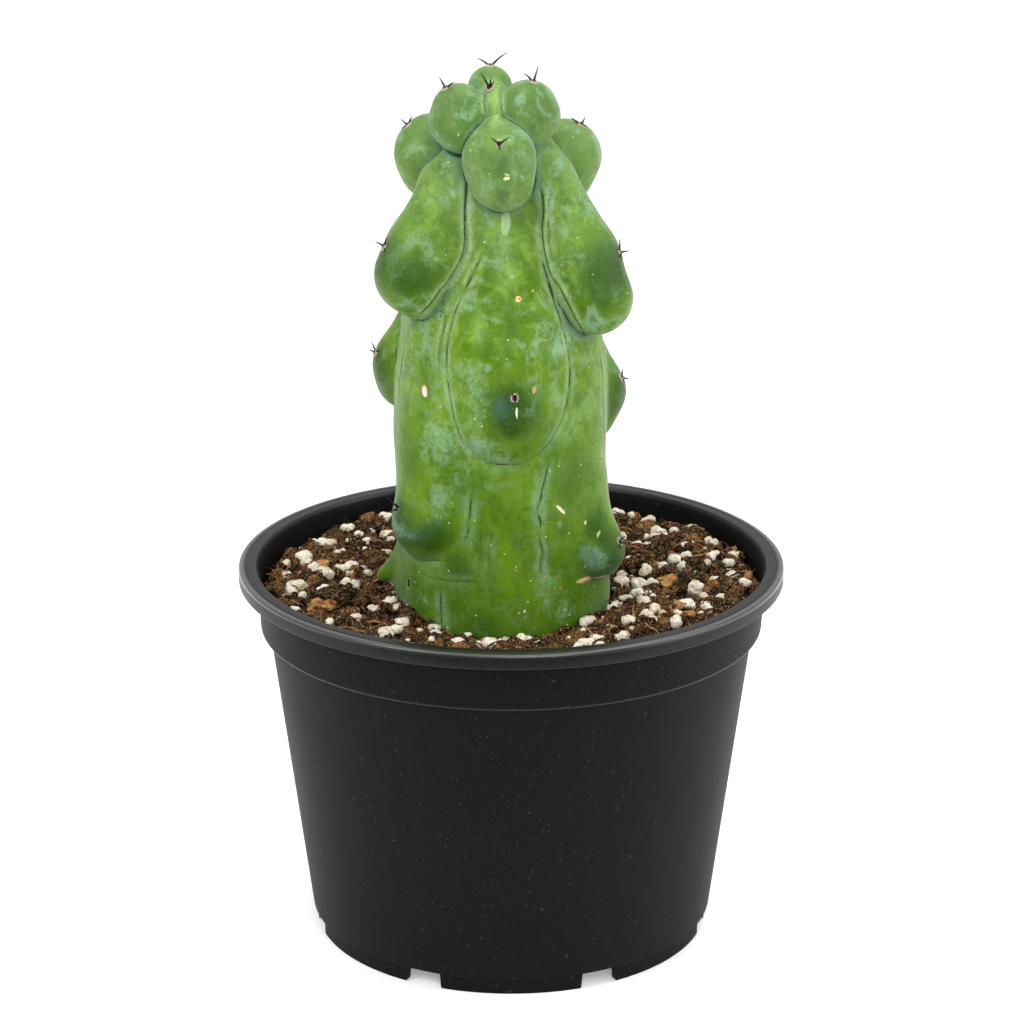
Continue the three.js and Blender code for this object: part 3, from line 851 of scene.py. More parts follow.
def ontoSkin(points, rounds=2):
    # moves points that lie near the skin onto it
    for _ in range(rounds):
        points = points - stemNormals(points) * stemField(points, nearSkin)[:, None]
    return points


def stemGrid():
    low, high = (np.array(corner, float) for corner in stem["box"])
    cell = stem["cell"]
    counts = np.ceil((high - low) / cell).astype(int)
    axes = [low[i] + cell * np.arange(counts[i]) for i in range(3)]
    field = columnField(axes[0][:, None, None], axes[1][None, :, None], axes[2][None, None, :])
    for tubercle in tubercles.values():
        boxLow, boxHigh = tubercleBox(tubercle, 2 * cell)
        start = np.maximum(((boxLow - low) / cell).astype(int), 0)
        stop = np.minimum(((boxHigh - low) / cell).astype(int) + 2, counts)
        window = tuple(slice(a, b) for a, b in zip(start, stop))
        mesh = np.meshgrid(*[axes[i][window[i]] for i in range(3)], indexing="ij")
        points = np.stack([part.ravel() for part in mesh], axis=1)
        part, blend = tubercleField(points, tubercle)
        shape = mesh[0].shape
        field[window] = smoothUnion(field[window], part.reshape(shape), blend.reshape(shape))
    return field, low, cell


def netSurface(field, low, cell):
    # one vertex in each cell that the surface crosses, and one quad round each crossed grid edge
    inside = field < 0
    shape = np.array(field.shape)
    owners, crossings, quads = [], [], []
    for axis in range(3):
        step = np.eye(3, dtype=int)[axis]
        one, two = np.eye(3, dtype=int)[(axis + 1) % 3], np.eye(3, dtype=int)[(axis + 2) % 3]
        near = tuple(slice(0, shape[i] - step[i]) for i in range(3))
        far = tuple(slice(step[i], shape[i]) for i in range(3))
        first = np.argwhere(inside[near] != inside[far])
        a, b = field[tuple(first.T)], field[tuple((first + step).T)]
        places = first + step * (a / (a - b))[:, None]
        corners = [first, first - one, first - one - two, first - two]
        cells = np.stack([np.ravel_multi_index(tuple(corner.T), shape) for corner in corners], axis=1)
        owners.append(cells.ravel())
        crossings.append(np.repeat(places, 4, axis=0))
        outward = inside[tuple(first.T)]
        quads.append(np.where(outward[:, None], cells, cells[:, ::-1]))
    owners, crossings, quads = (np.concatenate(part) for part in (owners, crossings, quads))
    used, index = np.unique(owners, return_inverse=True)
    count = np.bincount(index)
    points = np.stack([np.bincount(index, crossings[:, i]) / count for i in range(3)], axis=1)
    return low + cell * points, np.searchsorted(used, quads)


def smoothPath(points, step):
    # a curve through the points, as closely spaced samples
    points = np.array(points, float)
    ends = np.vstack([2 * points[0] - points[1], points, 2 * points[-1] - points[-2]])
    samples = []
    for a, b, c, d in zip(ends, ends[1:], ends[2:], ends[3:]):
        count = max(2, int(np.linalg.norm(c - b) / step))
        t = np.linspace(0, 1, count, endpoint=False)[:, None]
        samples.append(0.5 * (2 * b + (c - a) * t + (2 * a - 5 * b + 4 * c - d) * t ** 2
                              + (3 * b - a - 3 * c + d) * t ** 3))
    return np.vstack([*samples, ends[-2:-1]])


foldShape = {
    "step": 0.3,  # between the samples of a line
    "start": 60,  # from the axis, clear of the skin; from there a line comes in by strides
    "strides": 50,
    "stride": 0.9,  # a share of the distance that is left
    "trials": 17,  # places tried across the line for its snap
    "trialLift": 1.4,  # how far above the skin their room is measured
    "stay": 0.12,  # how strongly the line keeps to its place
    "smooth": 9,  # samples averaged along the line after its snap
    "rounds": 3,  # times that a snapped point is brought back to the skin
    "leastReach": 1.5,  # a fold works on the skin at least this far to each side
    "shoulder": 0.6,  # how soon the skin rises beside the line
    "lipAt": 1.2,  # distance of the pale lip from the line
    "lipWidth": 0.8,
    "fullDepth": 0.3,  # a groove at least this deep is drawn at full strength
    "fade": (5, 2.5),  # how far a line fades at its ends, and one that snaps
    "wearSize": 2.5,  # width of the stretches where a line is fainter or stronger
    "wear": (0.75, 0.7, 0.15),  # its usual strength, how much that varies, the least
    "atOnce": 20000,  # points measured together, to save memory
}


def layFold(drawn):
    # the fold's line as points on the skin, and the way it runs at each
    fold = {**usualFold, **drawn}
    outward = facingVector(fold["facing"])
    sideways = np.array([-outward[1], outward[0], 0])
    path = smoothPath(fold["path"], foldShape["step"])
    line = np.array([*stem["axis"], 0]) + outward * foldShape["start"] + np.outer(path[:, 0], sideways)
    line[:, 2] = path[:, 1]
    for _ in range(foldShape["strides"]):
        line -= outward * (stemField(line) * foldShape["stride"])[:, None]
    if "snap" in fold:
        across = unitRows(np.cross(stemNormals(line), np.gradient(line, axis=0)))
        shifts = np.linspace(-fold["snap"], fold["snap"], foldShape["trials"])
        trials = (line[:, None] + across[:, None] * shifts[:, None]).reshape(-1, 3)
        trials = ontoSkin(trials, foldShape["rounds"])
        lifted = trials + stemNormals(trials) * foldShape["trialLift"]
        room = stemField(lifted, nearSkin).reshape(len(line), -1) + foldShape["stay"] * abs(shifts)
        smooth = foldShape["smooth"]
        shift = np.pad(shifts[room.argmin(axis=1)], smooth // 2, mode="edge")
        shift = np.convolve(shift, np.full(smooth, 1 / smooth), "valid")
        line = ontoSkin(line + across * shift[:, None], foldShape["rounds"])
    return line, unitRows(np.gradient(line, axis=0)), fold


laidFolds = [layFold(fold) for fold in folds]


def foldRelief(points, normals):
    # how far the folds push each point out, and how near a fold's line and its lips it lies
    push, groove, lip = (np.zeros(len(points)) for _ in range(3))
    for line, way, fold in laidFolds:
        reach = 2 * max(fold["left"][1], fold["right"][1], foldShape["leastReach"])
        low, high = line.min(axis=0) - reach, line.max(axis=0) + reach
        near = np.flatnonzero(np.all((points > low) & (points < high), axis=1))
        if len(near) == 0:
            continue
        gaps = np.full(len(near), np.inf)
        nearest = np.zeros(len(near), int)
        for start in range(0, len(near), foldShape["atOnce"]):
            some = slice(start, start + foldShape["atOnce"])
            spans = np.linalg.norm(points[near[some]][:, None] - line[None], axis=2)
            nearest[some] = spans.argmin(axis=1)
            gaps[some] = spans.min(axis=1)
        ends = np.minimum(nearest, len(line) - 1 - nearest) * foldShape["step"]
        strength = ease(ends, -0.5, foldShape["fade"]["snap" in fold])
        if "snap" not in fold:
            usual, varies, least = foldShape["wear"]
            worn = usual + varies * softNoise(points[near], foldShape["wearSize"], 61)
            strength = strength * np.clip(worn, least, 1)
        offset = points[near] - line[nearest]
        side = np.einsum("ij,ij->i", np.cross(way[nearest], offset), normals[near])
        rise, back = (np.where(side > 0, left, right) for left, right in zip(fold["left"], fold["right"]))
        depth, width = fold["groove"]
        mark = np.exp(-(gaps / width) ** 2) * strength
        shoulder = (1 - np.exp(-(gaps / foldShape["shoulder"]) ** 2)) * np.exp(-(gaps / back) ** 2) * strength
        push[near] += shoulder * rise - mark * depth
        drawn = min(1.0, depth / foldShape["fullDepth"])
        groove[near] = np.maximum(groove[near], mark * drawn)
        pale = np.exp(-((gaps - foldShape["lipAt"]) / foldShape["lipWidth"]) ** 2) * strength * drawn
        lip[near] = np.maximum(lip[near], pale)
    return push, groove, lip


def refine(points, faces, chosen):
    # splits the edges of the chosen triangles in two, and their neighbours so that nothing gapes
    edges = np.sort(faces[:, [0, 1, 1, 2, 2, 0]].reshape(-1, 2), axis=1)
    edges, index = np.unique(edges, axis=0, return_inverse=True)
    index = index.reshape(-1, 3)
    split = np.zeros(len(edges), bool)
    split[index[chosen].ravel()] = True
    middle = np.cumsum(split) - 1 + len(points)
    points = np.vstack([points, points[edges[split]].mean(axis=1)])
    made = []
    for pattern in np.ndindex(2, 2, 2):
        rows = np.all(split[index] == np.array(pattern, bool), axis=1)
        corner, half = faces[rows], middle[index[rows]]
        turns = [0, 1, 2]
        if sum(pattern) == 1:
            turns = np.roll(turns, -pattern.index(1))
        elif sum(pattern) == 2:
            turns = np.roll(turns, -(pattern.index(0) + 1))
        a, b, c = corner[:, turns].T
        ab, bc, ca = half[:, turns].T
        shapes = {0: [(a, b, c)], 1: [(a, ab, c), (ab, b, c)], 2: [(ab, b, bc), (a, ab, bc), (a, bc, c)],
                  3: [(a, ab, ca), (ab, b, bc), (ca, bc, c), (ab, bc, ca)]}[sum(pattern)]
        made += [np.stack(shape, axis=1) for shape in shapes]
    return points, np.concatenate(made)


def strideIn(origin, ways, start, strides, stride=1.0):
    # how far from the origin the skin lies each way, found in strides from outside; a stride is a share of
    # the distance that is left
    reach = np.full(len(ways), float(start))
    for _ in range(strides):
        reach -= stemField(origin + ways * reach[:, None]) * stride
    return reach


def areoleSeat(name):
    # where a line from the tubercle's sphere leaves the skin, and the way the skin faces there
    tubercle = tubercles[name]
    number, facing, up = tubercle["areole"]
    distance, height, _ = tubercle["spheres"][number]
    centre = sphereCentre(tubercle["turn"], distance, height)
    outward = facingVector(facing, up)
    point = centre + outward * strideIn(centre, outward[None], start=60, strides=60)[0]
    return point, stemNormals(point[None])[0]


def buildStem(material):
    points, quads = netSurface(*stemGrid())
    points = ontoSkin(points)
    faces = np.concatenate([quads[:, [0, 1, 2]], quads[:, [0, 2, 3]]])
    for reach in stem["refine"]:
        normals = stemNormals(points, 0.3)
        _, groove, lip = foldRelief(points, normals)
        hollow = stemField(points + normals * reach, nearSkin) < reach * stem["hollowAt"]
        tight = hollow | (groove > stem["grooveAt"]) | (lip > stem["lipAt"] / reach)
        points, faces = refine(points, faces, tight[faces].any(axis=1))
        points = ontoSkin(points, 1)
    normals = stemNormals(points, 0.3)
    push, _, _ = foldRelief(points, normals)
    for width, height, seed in stem["lumps"]:
        push += height * softNoise(points, width, seed)
    count, height, rising, falling = stem["ribs"]
    turn = np.arctan2(points[:, 0] - stem["axis"][0], stem["axis"][1] - points[:, 1])
    push += height * np.cos(count * turn) * ease(points[:, 2], *rising) * (1 - ease(points[:, 2], *falling))
    fine = objectFrom("stemFine", points + normals * push[:, None], faces, [material])
    print("stem before shrinking", len(faces))
    shrink = fine.modifiers.new("shrink", "DECIMATE")
    shrink.ratio = min(1.0, stem["triangles"] / len(faces))
    mesh = evaluated(fine)
    bpy.data.objects.remove(fine)
    paintStem(mesh)
    settle(linked("stem", mesh), "cactus_skin", "cactus_stem")
    print("stem triangles", triangleCount(mesh))


# Patches of colour on the front: across, height, half width, half height, strength
patches = {
    "bloom": [(13, 179, 5, 6, 1.0), (8.8, 184, 4, 4, 0.7), (-10.7, 171, 5, 9, 0.7), (-19, 152, 7, 7, 0.9),
              (-8, 152, 6, 5, 1.0), (-19, 135, 5, 9, 0.8), (-3, 148, 8, 3, 0.8), (-20.6, 203, 4, 4, 0.8),
              (-26, 187, 7, 2.4, 0.7), (-31, 127, 6, 3, 0.9), (-10.5, 212, 2, 8, 0.7), (21.5, 184, 4, 6, 0.9),
              (22, 117, 4, 4, 1.3), (8.5, 137, 3, 12, 0.8), (9, 112, 4, 10, 0.7), (-24, 104, 4, 9, 0.5),
              (3, 104, 3, 5, 0.5), (14, 104, 4, 5, 0.7), (-1, 222, 4, 4, 0.5), (-9, 163, 5, 7, 0.7),
              (5, 163, 4, 5, 0.4), (15, 165, 2, 8, 0.5), (-14, 143, 8, 6, 0.6)],
    "sun": [(-4.6, 239, 2.2, 4.5, 1.1), (-5, 247, 6, 4, 0.45), (-1, 206, 8, 7, 0.5), (-1, 198, 6, 6, 0.6),
            (-22, 216, 4.5, 8, 0.5), (16, 212, 4, 9, 0.4),
            (-14, 200, 3, 8, 0.4), (-27, 163, 4, 12, 0.6), (-0.5, 118, 2.8, 11, 1.3), (7, 110.5, 6, 4, 1.2),
            (-3, 232, 4, 3, 0.7), (12, 232, 3, 5, 0.4), (22, 150, 5, 14, 0.5), (-9, 186, 4, 8, 0.6),
            (1, 153, 4, 3, 0.6)],
    "deep": [(0.5, 186, 3.5, 10, 0.6), (-26, 197, 8.5, 8, 1.05), (24, 197, 8, 12, 1.0),
             (0.5, 161, 3.4, 6, 1.3), (-18, 176, 3, 10, 0.6), (-26, 145, 4, 10, 0.6), (16, 140, 6, 16, 0.55),
             (0, 132, 5, 9, 0.5), (-21.5, 125.5, 7.5, 5, 1.1), (-14, 118, 4, 5, 0.8), (24, 126, 4, 7, 0.9),
             (-12, 240, 3, 4, 0.5), (8, 237, 3, 4, 0.6), (-2, 226, 3, 4, 0.8), (-1.3, 217.5, 3.4, 3, 1.0),
             (-9, 101, 9, 6, 0.7), (14, 128, 4, 6, 0.6)],
    "stain": [(-2.4, 164, 2.3, 2.8, 1.0), (22.6, 116.5, 4, 3.4, 0.8), (-27, 127, 6, 2.4, 0.5)],
}


def foldedIn(mesh, points):
    # how sharply the surface bends inwards at each vertex, in radians per millimetre
    facing = readValues(mesh.vertex_normals, "vector", 3)
    first, second = readValues(mesh.edges, "vertices", 2, np.int32).T
    span = points[second] - points[first]
    apart = np.einsum("ij,ij->i", span, span) + 0.005
    bend = np.einsum("ij,ij->i", facing[first] - facing[second], span) / apart
    sharpest, count = np.zeros(len(points)), np.ones(len(points))
    for side in (first, second):
        np.maximum.at(sharpest, side, bend)
    total = sharpest.copy()
    for side, other in ((first, second), (second, first)):
        np.add.at(total, side, sharpest[other])
        np.add.at(count, side, 1)
    return total / count


stemPaint = {
    "reaches": (1.5, 3),  # how far out narrow and wide hollows are measured
    "bend": (0.7, 2.8),  # radians per millimetre, from a soft bend to a sharp one
    "narrow": (0.5, 0.95),
    "grooveShare": 0.62,
    "darkBelow": 4,  # the dark green about an areole, with painted shade below it where the tubercle turns under, is centred this far below it
    "darkReach": 9,
    "paleDark": 0.3,  # its strength on the crown and at the base
    "shiftSize": 9,  # soft waves of this width shift the patches' outlines
    "shift": (1.6, 2.2),
    "facing": (-0.3, 0.1),  # the patches are drawn where the skin faces forwards by this much
    "backSize": 17,  # elsewhere they lie at random
}


def paintStem(mesh):
    # numbers at each vertex that the skin's shader reads
    points = readValues(mesh.vertices, "co", 3).astype(float) / metre
    normals = stemNormals(points, 0.4)
    _, groove, lip = foldRelief(points, normals)
    skin = stemField(points, nearAbove)
    wide, far = (np.clip(1 - (stemField(points + normals * reach, nearAbove) - skin) / reach, 0, 1)
                 for reach in stemPaint["reaches"])
    sharp = ease(foldedIn(mesh, points), *stemPaint["bend"])
    # painted shade in creases: sharp inward bends, narrow hollows and the folds' grooves
    giveAttribute(mesh, "creaseShade", np.maximum.reduce([
        sharp, ease(wide, *stemPaint["narrow"]), groove * stemPaint["grooveShare"]]))
    # the bluish tint in wider hollows: partly wax bloom, partly painted shade
    giveAttribute(mesh, "hollow", far)
    # pale lips beside the folds: partly wax, partly a painted highlight
    giveAttribute(mesh, "lip", lip)
    # dark green about each areole, with painted shade below it where the tubercle turns under
    dark = np.zeros(len(points))
    for name in tubercles:
        point, _ = areoleSeat(name)
        gap = np.linalg.norm(points - (point - np.array([0, 0, stemPaint["darkBelow"]])), axis=1)
        strength = stemPaint["paleDark"] if "crown" in name or "base" in name else 1
        dark = np.maximum(dark, np.exp(-(gap / stemPaint["darkReach"]) ** 2) * strength)
    giveAttribute(mesh, "areoleDarkAndShade", dark)
    shifted = [points[:, axis] + reach * softNoise(points, stemPaint["shiftSize"], seed, 2)
               for axis, reach, seed in zip((0, 2), stemPaint["shift"], (21, 22))]
    front = ease(-normals[:, 1], *stemPaint["facing"])
    for name, spots in patches.items():
        strength = np.zeros(len(points))
        for across, height, halfWidth, halfHeight, weight in spots:
            x = (shifted[0] - across) / halfWidth
            z = (shifted[1] - height) / halfHeight
            strength = np.maximum(strength, weight * np.exp(-(x * x + z * z)))
        seed = list(patches).index(name) * 10 + 31
        elsewhere = np.clip(0.15 + 0.9 * softNoise(points, stemPaint["backSize"], seed, 2), 0, 1)
        elsewhere *= name != "stain"
        giveAttribute(mesh, name, strength * front + elsewhere * (1 - front))


# Small scars and stains: place, half width and height, tilt, colour, strength
markDepth = 5
skinMarks = [
    ((-1.4, -29.4, 210.0), (1.25, 3.1), 4, (178, 209, 160), 0.6),
    ((-1.2, -37.6, 223.9), (0.8, 0.38), -12, (238, 238, 176), 1.0),
    ((-1.0, -37.6, 224.9), (0.7, 0.3), 30, (204, 222, 130), 0.7),
    ((1.9, -35.2, 191.3), (0.72, 0.76), 0, (244, 208, 150), 1.0),
    ((2.1, -35.2, 191.3), (0.38, 0.4), 0, (206, 142, 84), 0.9),
    ((5.6, -33.1, 193), (0.26, 0.28), 0, (214, 162, 92), 0.9),
    ((6.1, -41.3, 168), (0.5, 1.1), 8, (190, 172, 128), 0.8),
    ((-23, -30.1, 164.7), (0.95, 1.75), -3, (168, 116, 84), 0.8),
    ((-23, -30.1, 164.5), (0.72, 1.45), -3, (250, 222, 200), 1.0),
    ((13.3, -34.1, 132.4), (0.42, 1.9), -38, (247, 240, 204), 1.0),
    ((12.9, -34.1, 128.4), (0.75, 1.1), -20, (134, 172, 112), 0.45),
    ((20, -29.9, 127.3), (0.3, 0.62), 0, (232, 222, 160), 0.9),
    ((23.6, -28.4, 123.6), (0.35, 1.0), 22, (196, 214, 132), 0.8),
    ((20.2, -26.5, 110.2), (3.4, 0.8), 4, (160, 118, 74), 0.8),
    ((19.6, -26.5, 110.5), (2.6, 0.55), 4, (216, 190, 142), 0.9),
    ((24.2, -25, 110.6), (1.9, 0.4), -10, (226, 208, 172), 0.9),
    ((1.4, -38.3, 116.9), (0.36, 0.45), 0, (206, 142, 52), 0.9),
    ((13.3, -33.5, 110), (0.32, 0.4), 0, (196, 128, 50), 0.9),
    ((8.9, -36.1, 114), (0.3, 0.3), 0, (198, 152, 62), 0.8),
    ((3.6, -37.7, 105), (0.32, 0.36), 0, (226, 230, 168), 0.9),
    ((1.5, -43.6, 162.3), (0.32, 1.5), 0, (222, 232, 206), 0.9),
    ((-31.1, -10.8, 168.6), (0.42, 2.3), 0, (66, 58, 34), 0.85),
    ((-35.6, -10.6, 103.6), (0.6, 0.6), 0, (108, 78, 58), 0.9),
    ((-18.7, -30.1, 185), (0.9, 0.9), 0, (160, 192, 146), 0.4),
    ((-18.7, -30.1, 185), (0.32, 0.36), 0, (44, 66, 40), 0.7),
]


# Zones of the skin by height, from where one begins to where it is full, in metres; in the foot zone painted
# shade darkens the stem towards the soil
skinZones = {"upper": (0.14, 0.19), "foot": (0.13, 0.092), "crown": (0.185, 0.232), "tip": (0.222, 0.242)}


def skinMaterial():
    tree = Finish(
        "waxySkin", Specular_IOR_Level=0.1, Sheen_Weight=0.34, Sheen_Roughness=0.28,
        Sheen_Tint=paint(235, 244, 222), Coat_Weight=0.16, Coat_Roughness=0.34, Coat_IOR=1.3)
    place = tree.place()
    names = ("creaseShade", "hollow", "lip", "areoleDarkAndShade", "bloom", "sun", "deep", "stain")
    creaseShade, hollow, lip, dark, bloomy, sunny, deep, stain = (tree.attribute(name) for name in names)
    height = tree.height(place)
    upper, foot, crown, tip = (
        tree.fade(height, *skinZones[name]) for name in ("upper", "foot", "crown", "tip"))
    broad = tree.noise(place, 14, detail=3, warp=0.4)
    cloud = tree.noise(place, 8, detail=4, rough=0.6, warp=1.2)
    mottle = tree.noise(place, 4, detail=5, rough=0.62, warp=0.9)
    fine = tree.noise(place, 0.9, detail=3, rough=0.65)
    grain = tree.noise(place, 0.42, detail=2, rough=0.7)
    rib = tree.noise(tree.stretch(place, (1, 1, 0.16)), 2.2, detail=3, rough=0.6, warp=0.5)
    colour = tree.tint(paint(80, 121, 2), paint(106, 143, 16), tree.fade(broad, 0.3, 0.7))
    colour = tree.layers(
        colour,
        ((134, 170, 56), tree.fade(mottle, 0.45, 0.7) * (0.27 + upper * 0.3)),
        ((58, 98, 2), tree.fade(mottle, 0.52, 0.3) * 0.6),
        ((70, 112, 4), tree.fade(rib, 0.55, 0.35) * 0.3))
    ripe = tree.tint(paint(108, 150, 6), paint(156, 192, 88), upper)
    colour = tree.tint(colour, ripe, tree.fade(sunny + mottle * 0.5 - 0.25, 0.2, 1.0) * 0.8)
    colour = tree.layers(
        colour,
        ((38, 78, 1), tree.fade(deep + (mottle - 0.5) * 0.8, 0.25, 0.95) * 0.85),
        # dark green about each areole, partly painted shade below it
        ((36, 70, 3), tree.fade(dark + (mottle - 0.5) * 0.5, 0.1, 0.9) * 0.85),
        # painted shade: darker towards the soil
        ((44, 80, 3), foot * 0.55))
    # wax: a thin veil that is thicker near the crown, and worn, streaky swirls in the patches
    bend = tree.wander(place, 6, 5)
    streak = tree.noise(tree.stretch(bend, (1, 1, 0.4)), 2.6, detail=5, rough=0.66, warp=1.6)
    brush = tree.noise(tree.stretch(bend, (0.5, 0.5, 1.3)), 1.8, detail=4, rough=0.7, warp=2.4)
    swirl = tree.fade(tree.maths("ABSOLUTE", streak - 0.5), 0.032, 0.003)
    stroke = tree.fade(tree.maths("ABSOLUTE", brush - 0.47), 0.028, 0.003)
    patch = tree.fade(bloomy + (mottle - 0.5) * 0.9 + (fine - 0.5) * 0.8, 0.3, 0.95)
    worn = tree.maths("MAXIMUM", 1 - dark * 0.6 - deep * 0.7 - sunny * 0.5, 0.1) * (0.4 + upper * 0.6)
    veil = tree.fade(cloud + (streak - 0.5) * 0.5, 0.5, 0.68) * worn
    wax = patch * (0.15 + tree.fade(streak, 0.42, 0.62) * 0.45) + veil * (0.34 + upper * 0.2)
    wax = wax + (swirl + stroke) * (0.06 + patch * 0.5 + veil * 0.25)
    colour = tree.tint(
        colour, paint(118, 148, 102), crown * (0.28 + tree.fade(broad, 0.35, 0.7) * 0.3) * (1 - sunny * 0.6))
    colour = tree.layers(
        colour,
        ((74, 108, 50), tip * 0.48 * (1 - sunny)),
        ((140, 176, 140), tree.maths("MINIMUM", wax, 0.85)),
        ((66, 104, 96), stain * 0.6))
    # a bluish tint in the hollows, partly wax bloom that gathers there and partly painted shade; pale lips
    # beside the folds, partly wax and partly a painted highlight; dark lines of painted shade in the creases
    hollowWaxAndShade = tree.fade(hollow + (mottle - 0.5) * 0.3, 0.3, 0.8) * 0.75 * tree.maths("MAXIMUM", 1 - sunny, 0.1)
    colour = tree.tint(colour, paint(108, 148, 118), hollowWaxAndShade)
    lipWaxAndHighlight = tree.tint(paint(134, 172, 134), paint(176, 204, 146), upper)
    colour = tree.tint(colour, lipWaxAndHighlight, lip * (0.3 + tree.fade(fine, 0.35, 0.65) * 0.35))
    colour = tree.layers(
        colour,
        # painted shade: a soft band and a dark line in each crease
        ((70, 108, 76), tree.fade(creaseShade, 0.2, 0.65) * 0.6),
        ((30, 52, 28), tree.fade(creaseShade, 0.5, 1.0) * 0.85),
        ((40, 70, 8), tree.fade(grain, 0.45, 0.2) * 0.45),
        ((160, 194, 86), tree.fade(grain, 0.58, 0.85) * 0.4))
    fleckCell = tree.add("ShaderNodeTexVoronoi", None, {"Vector": place, "Scale": 330.0, "Randomness": 1.0})
    chosen = tree.fade(tree.noise(place, 7, detail=1), 0.5, 0.6)
    fleck = tree.fade(fleckCell["Distance"], 0.11, 0.06) * chosen
    colour = tree.tint(colour, paint(214, 226, 180), fleck * 0.85)
    wobble = tree.wander(place, 1.1, 0.7)
    raised = 0.0
    for spot, (halfWidth, halfHeight), tilt, shade, strength in skinMarks:
        centred = tree.add("ShaderNodeMapping", {"vector_type": "TEXTURE"}, {
            "Vector": wobble, "Location": [(part + 0.35) * metre for part in spot],
            "Rotation": (0, math.radians(tilt), 0),
            "Scale": (halfWidth * metre, markDepth * metre, halfHeight * metre)})
        shape = tree.fade(tree.vectors("LENGTH", centred["Vector"]), 1.15, 0.85)
        colour = tree.tint(colour, paint(*shade), shape * strength)
        raised = shape + raised
    tree.vary("Roughness", 0.36 + wax * 0.25 + fine * 0.1)
    relief = (fine * 0.3 + mottle * 0.5 + grain * 0.2 + (swirl + stroke) * 0.12 + rib * 0.25 + raised * 0.2
              - tree.fade(creaseShade, 0.2, 1.0) * 1.2)
    return tree.coat(colour, relief, 0.3, 0.6)


buildStem(skinMaterial())
print("stem ready")


# Areoles: a woolly pad with stiff dark spines on each tubercle

areole = {
    "padWidth": 0.95,  # half sizes on the skin, and how far the pad stands out of it
    "padLength": 1.15,
    "padHeight": 0.6,
    "padSides": 18,
    # the pad's outline: how far out, how high
    "padRings": ((0, -0.9), (0.8, -0.8), (1, -0.1), (0.94, 0.35), (0.7, 0.75), (0.4, 0.95), (0, 1)),
    "spineWidth": 0.36,  # radius near the foot
    "spinePoint": 0.07,
    "spineFoot": 0.35,  # how much wider the foot flares
    "spineSteps": 9,
    "bow": 0.07,
    "hairsPerArea": 16e6,
    "hairLength": 0.6,
    "hairWidth": 0.04,
}

# where each spine's point is from its areole's place: right, back, up
spineTips = {
    "crown_back": [(-3.6, 1, 1.9), (4.5, 0, 3.6)],
    "crown_rear": [(-2.2, 2.6, 2.2), (2.4, 3, 1.6), (0.2, 3.4, 0.4)],
    "crown_tip": [(-2.3, -1, 4.2), (0.5, -1, 2.8), (1.4, -2, 2.2)],
    "crown_left": [(-1.6, -1, 3.2), (2.4, -2, 2)],
    "crown_right": [(-2.6, -1, 2.6), (1.3, -1, 4.5)],
    "crown_front": [(-2.2, -3, 2.3), (2.4, -3, 2.4), (0.1, -2.4, -1.1)],
    "crown_back_left": [(-1.9, 0, 1.8), (1.2, 0, 2.6), (-1.7, -1, -0.6)],
    "crown_back_right": [(-3, 0, 2), (1.1, 0, 2.1), (1.6, -1, -0.3)],
    "upper_left": [(-2.5, -1, 1.6), (0.8, -2, 2.9), (0, -2, -1.2)],
    "upper_right": [(-0.3, -2, 4.3), (2.6, -1, 0.7), (0.5, -2, -1.2)],
    "upper_back": [(-2.2, 2.4, 1.8), (2.4, 2.6, 1.4), (0.1, 2.6, -1.8)],
    "middle_front": [(-0.9, -3, 2.6), (0.6, -3, 2), (0.3, -3, -0.9)],
    "middle_left": [(-1, 0.4, 3), (-2, 1.5, 0.4), (0.8, -2, 1.6)],
    "middle_right": [(0.5, 0.5, 2.5), (2.3, 0, -0.5), (0.9, -1, -1)],
    "lower_left": [(-3, -1, 3.4), (-2.4, -2, -0.3), (-0.6, -2, 2)],
    "lower_right": [(1.8, -1, 2), (2.8, -1, -0.4), (0.6, -2, -1.5)],
    "lower_back": [(-2.2, 2.4, 1.4), (2, 2.8, 1.8), (0.1, 2.4, -2)],
    "base_left": [(-0.5, -1, 2.2), (0.7, -1, -1.9)],
    "base_right": [(2.2, 1.6, 2), (2.6, 0.6, -0.6)],
}


def areoleTree():
    nodes, given = geometryTree("spinesAndWool", {
        "Hairs Per Area": 3e7, "Hair Length": 0.0006, "Hair Width": 0.00004,
        "Seed": 0, "Spine": "Material", "Wool": "Material"})
    thickness = nodes.named("thickness")
    isSpine = nodes.above(thickness, 1e-6)
    lines = nodes.add("GeometryNodeMeshToCurve", None, {
        "Mesh": given["Geometry"], "Selection": isSpine})["Curve"]
    spines = nodes.tube(lines, 9, 1.0, thickness)
    spines = nodes.add("GeometryNodeSetShadeSmooth", None, {"Geometry": spines})["Geometry"]
    pad = nodes.add("GeometryNodeSeparateGeometry", {"domain": "POINT"}, {
        "Geometry": given["Geometry"], "Selection": isSpine})["Inverted"]
    # hairs stand on the outer part of the pad and lean over
    spread = nodes.add("GeometryNodeDistributePointsOnFaces", {"distribute_method": "RANDOM"}, {
        "Mesh": pad, "Selection": nodes.above(nodes.named("along"), 0.6),
        "Density": given["Hairs Per Area"], "Seed": given["Seed"]})
    lean = nodes.bentLine(4, (0, 0, -0.1), (0.1, 0, 0.6), (0.55, 0, 0.9))
    toTip = nodes.add("GeometryNodeSplineParameter")["Factor"]
    hair = nodes.tube(lean, 3, given["Hair Width"] / given["Hair Length"], 1.1 - toTip)
    turn = nodes.add("FunctionNodeRotateRotation", {"rotation_space": "LOCAL"}, {
        "Rotation": spread["Rotation"],
        "Rotate By": nodes.anyWay((-0.5, -0.5, 0), (0.5, 0.5, 6.28), given["Seed"])})["Rotation"]
    wool = nodes.copies(spread["Points"], hair, Rotation=turn,
                        Scale=nodes.chance(0.5, 1.2, 3) * given["Hair Length"])
    return closeTree(nodes, nodes.joined(
        (pad, nodes.coated(spines, given["Spine"]), nodes.coated(wool, given["Wool"]))))


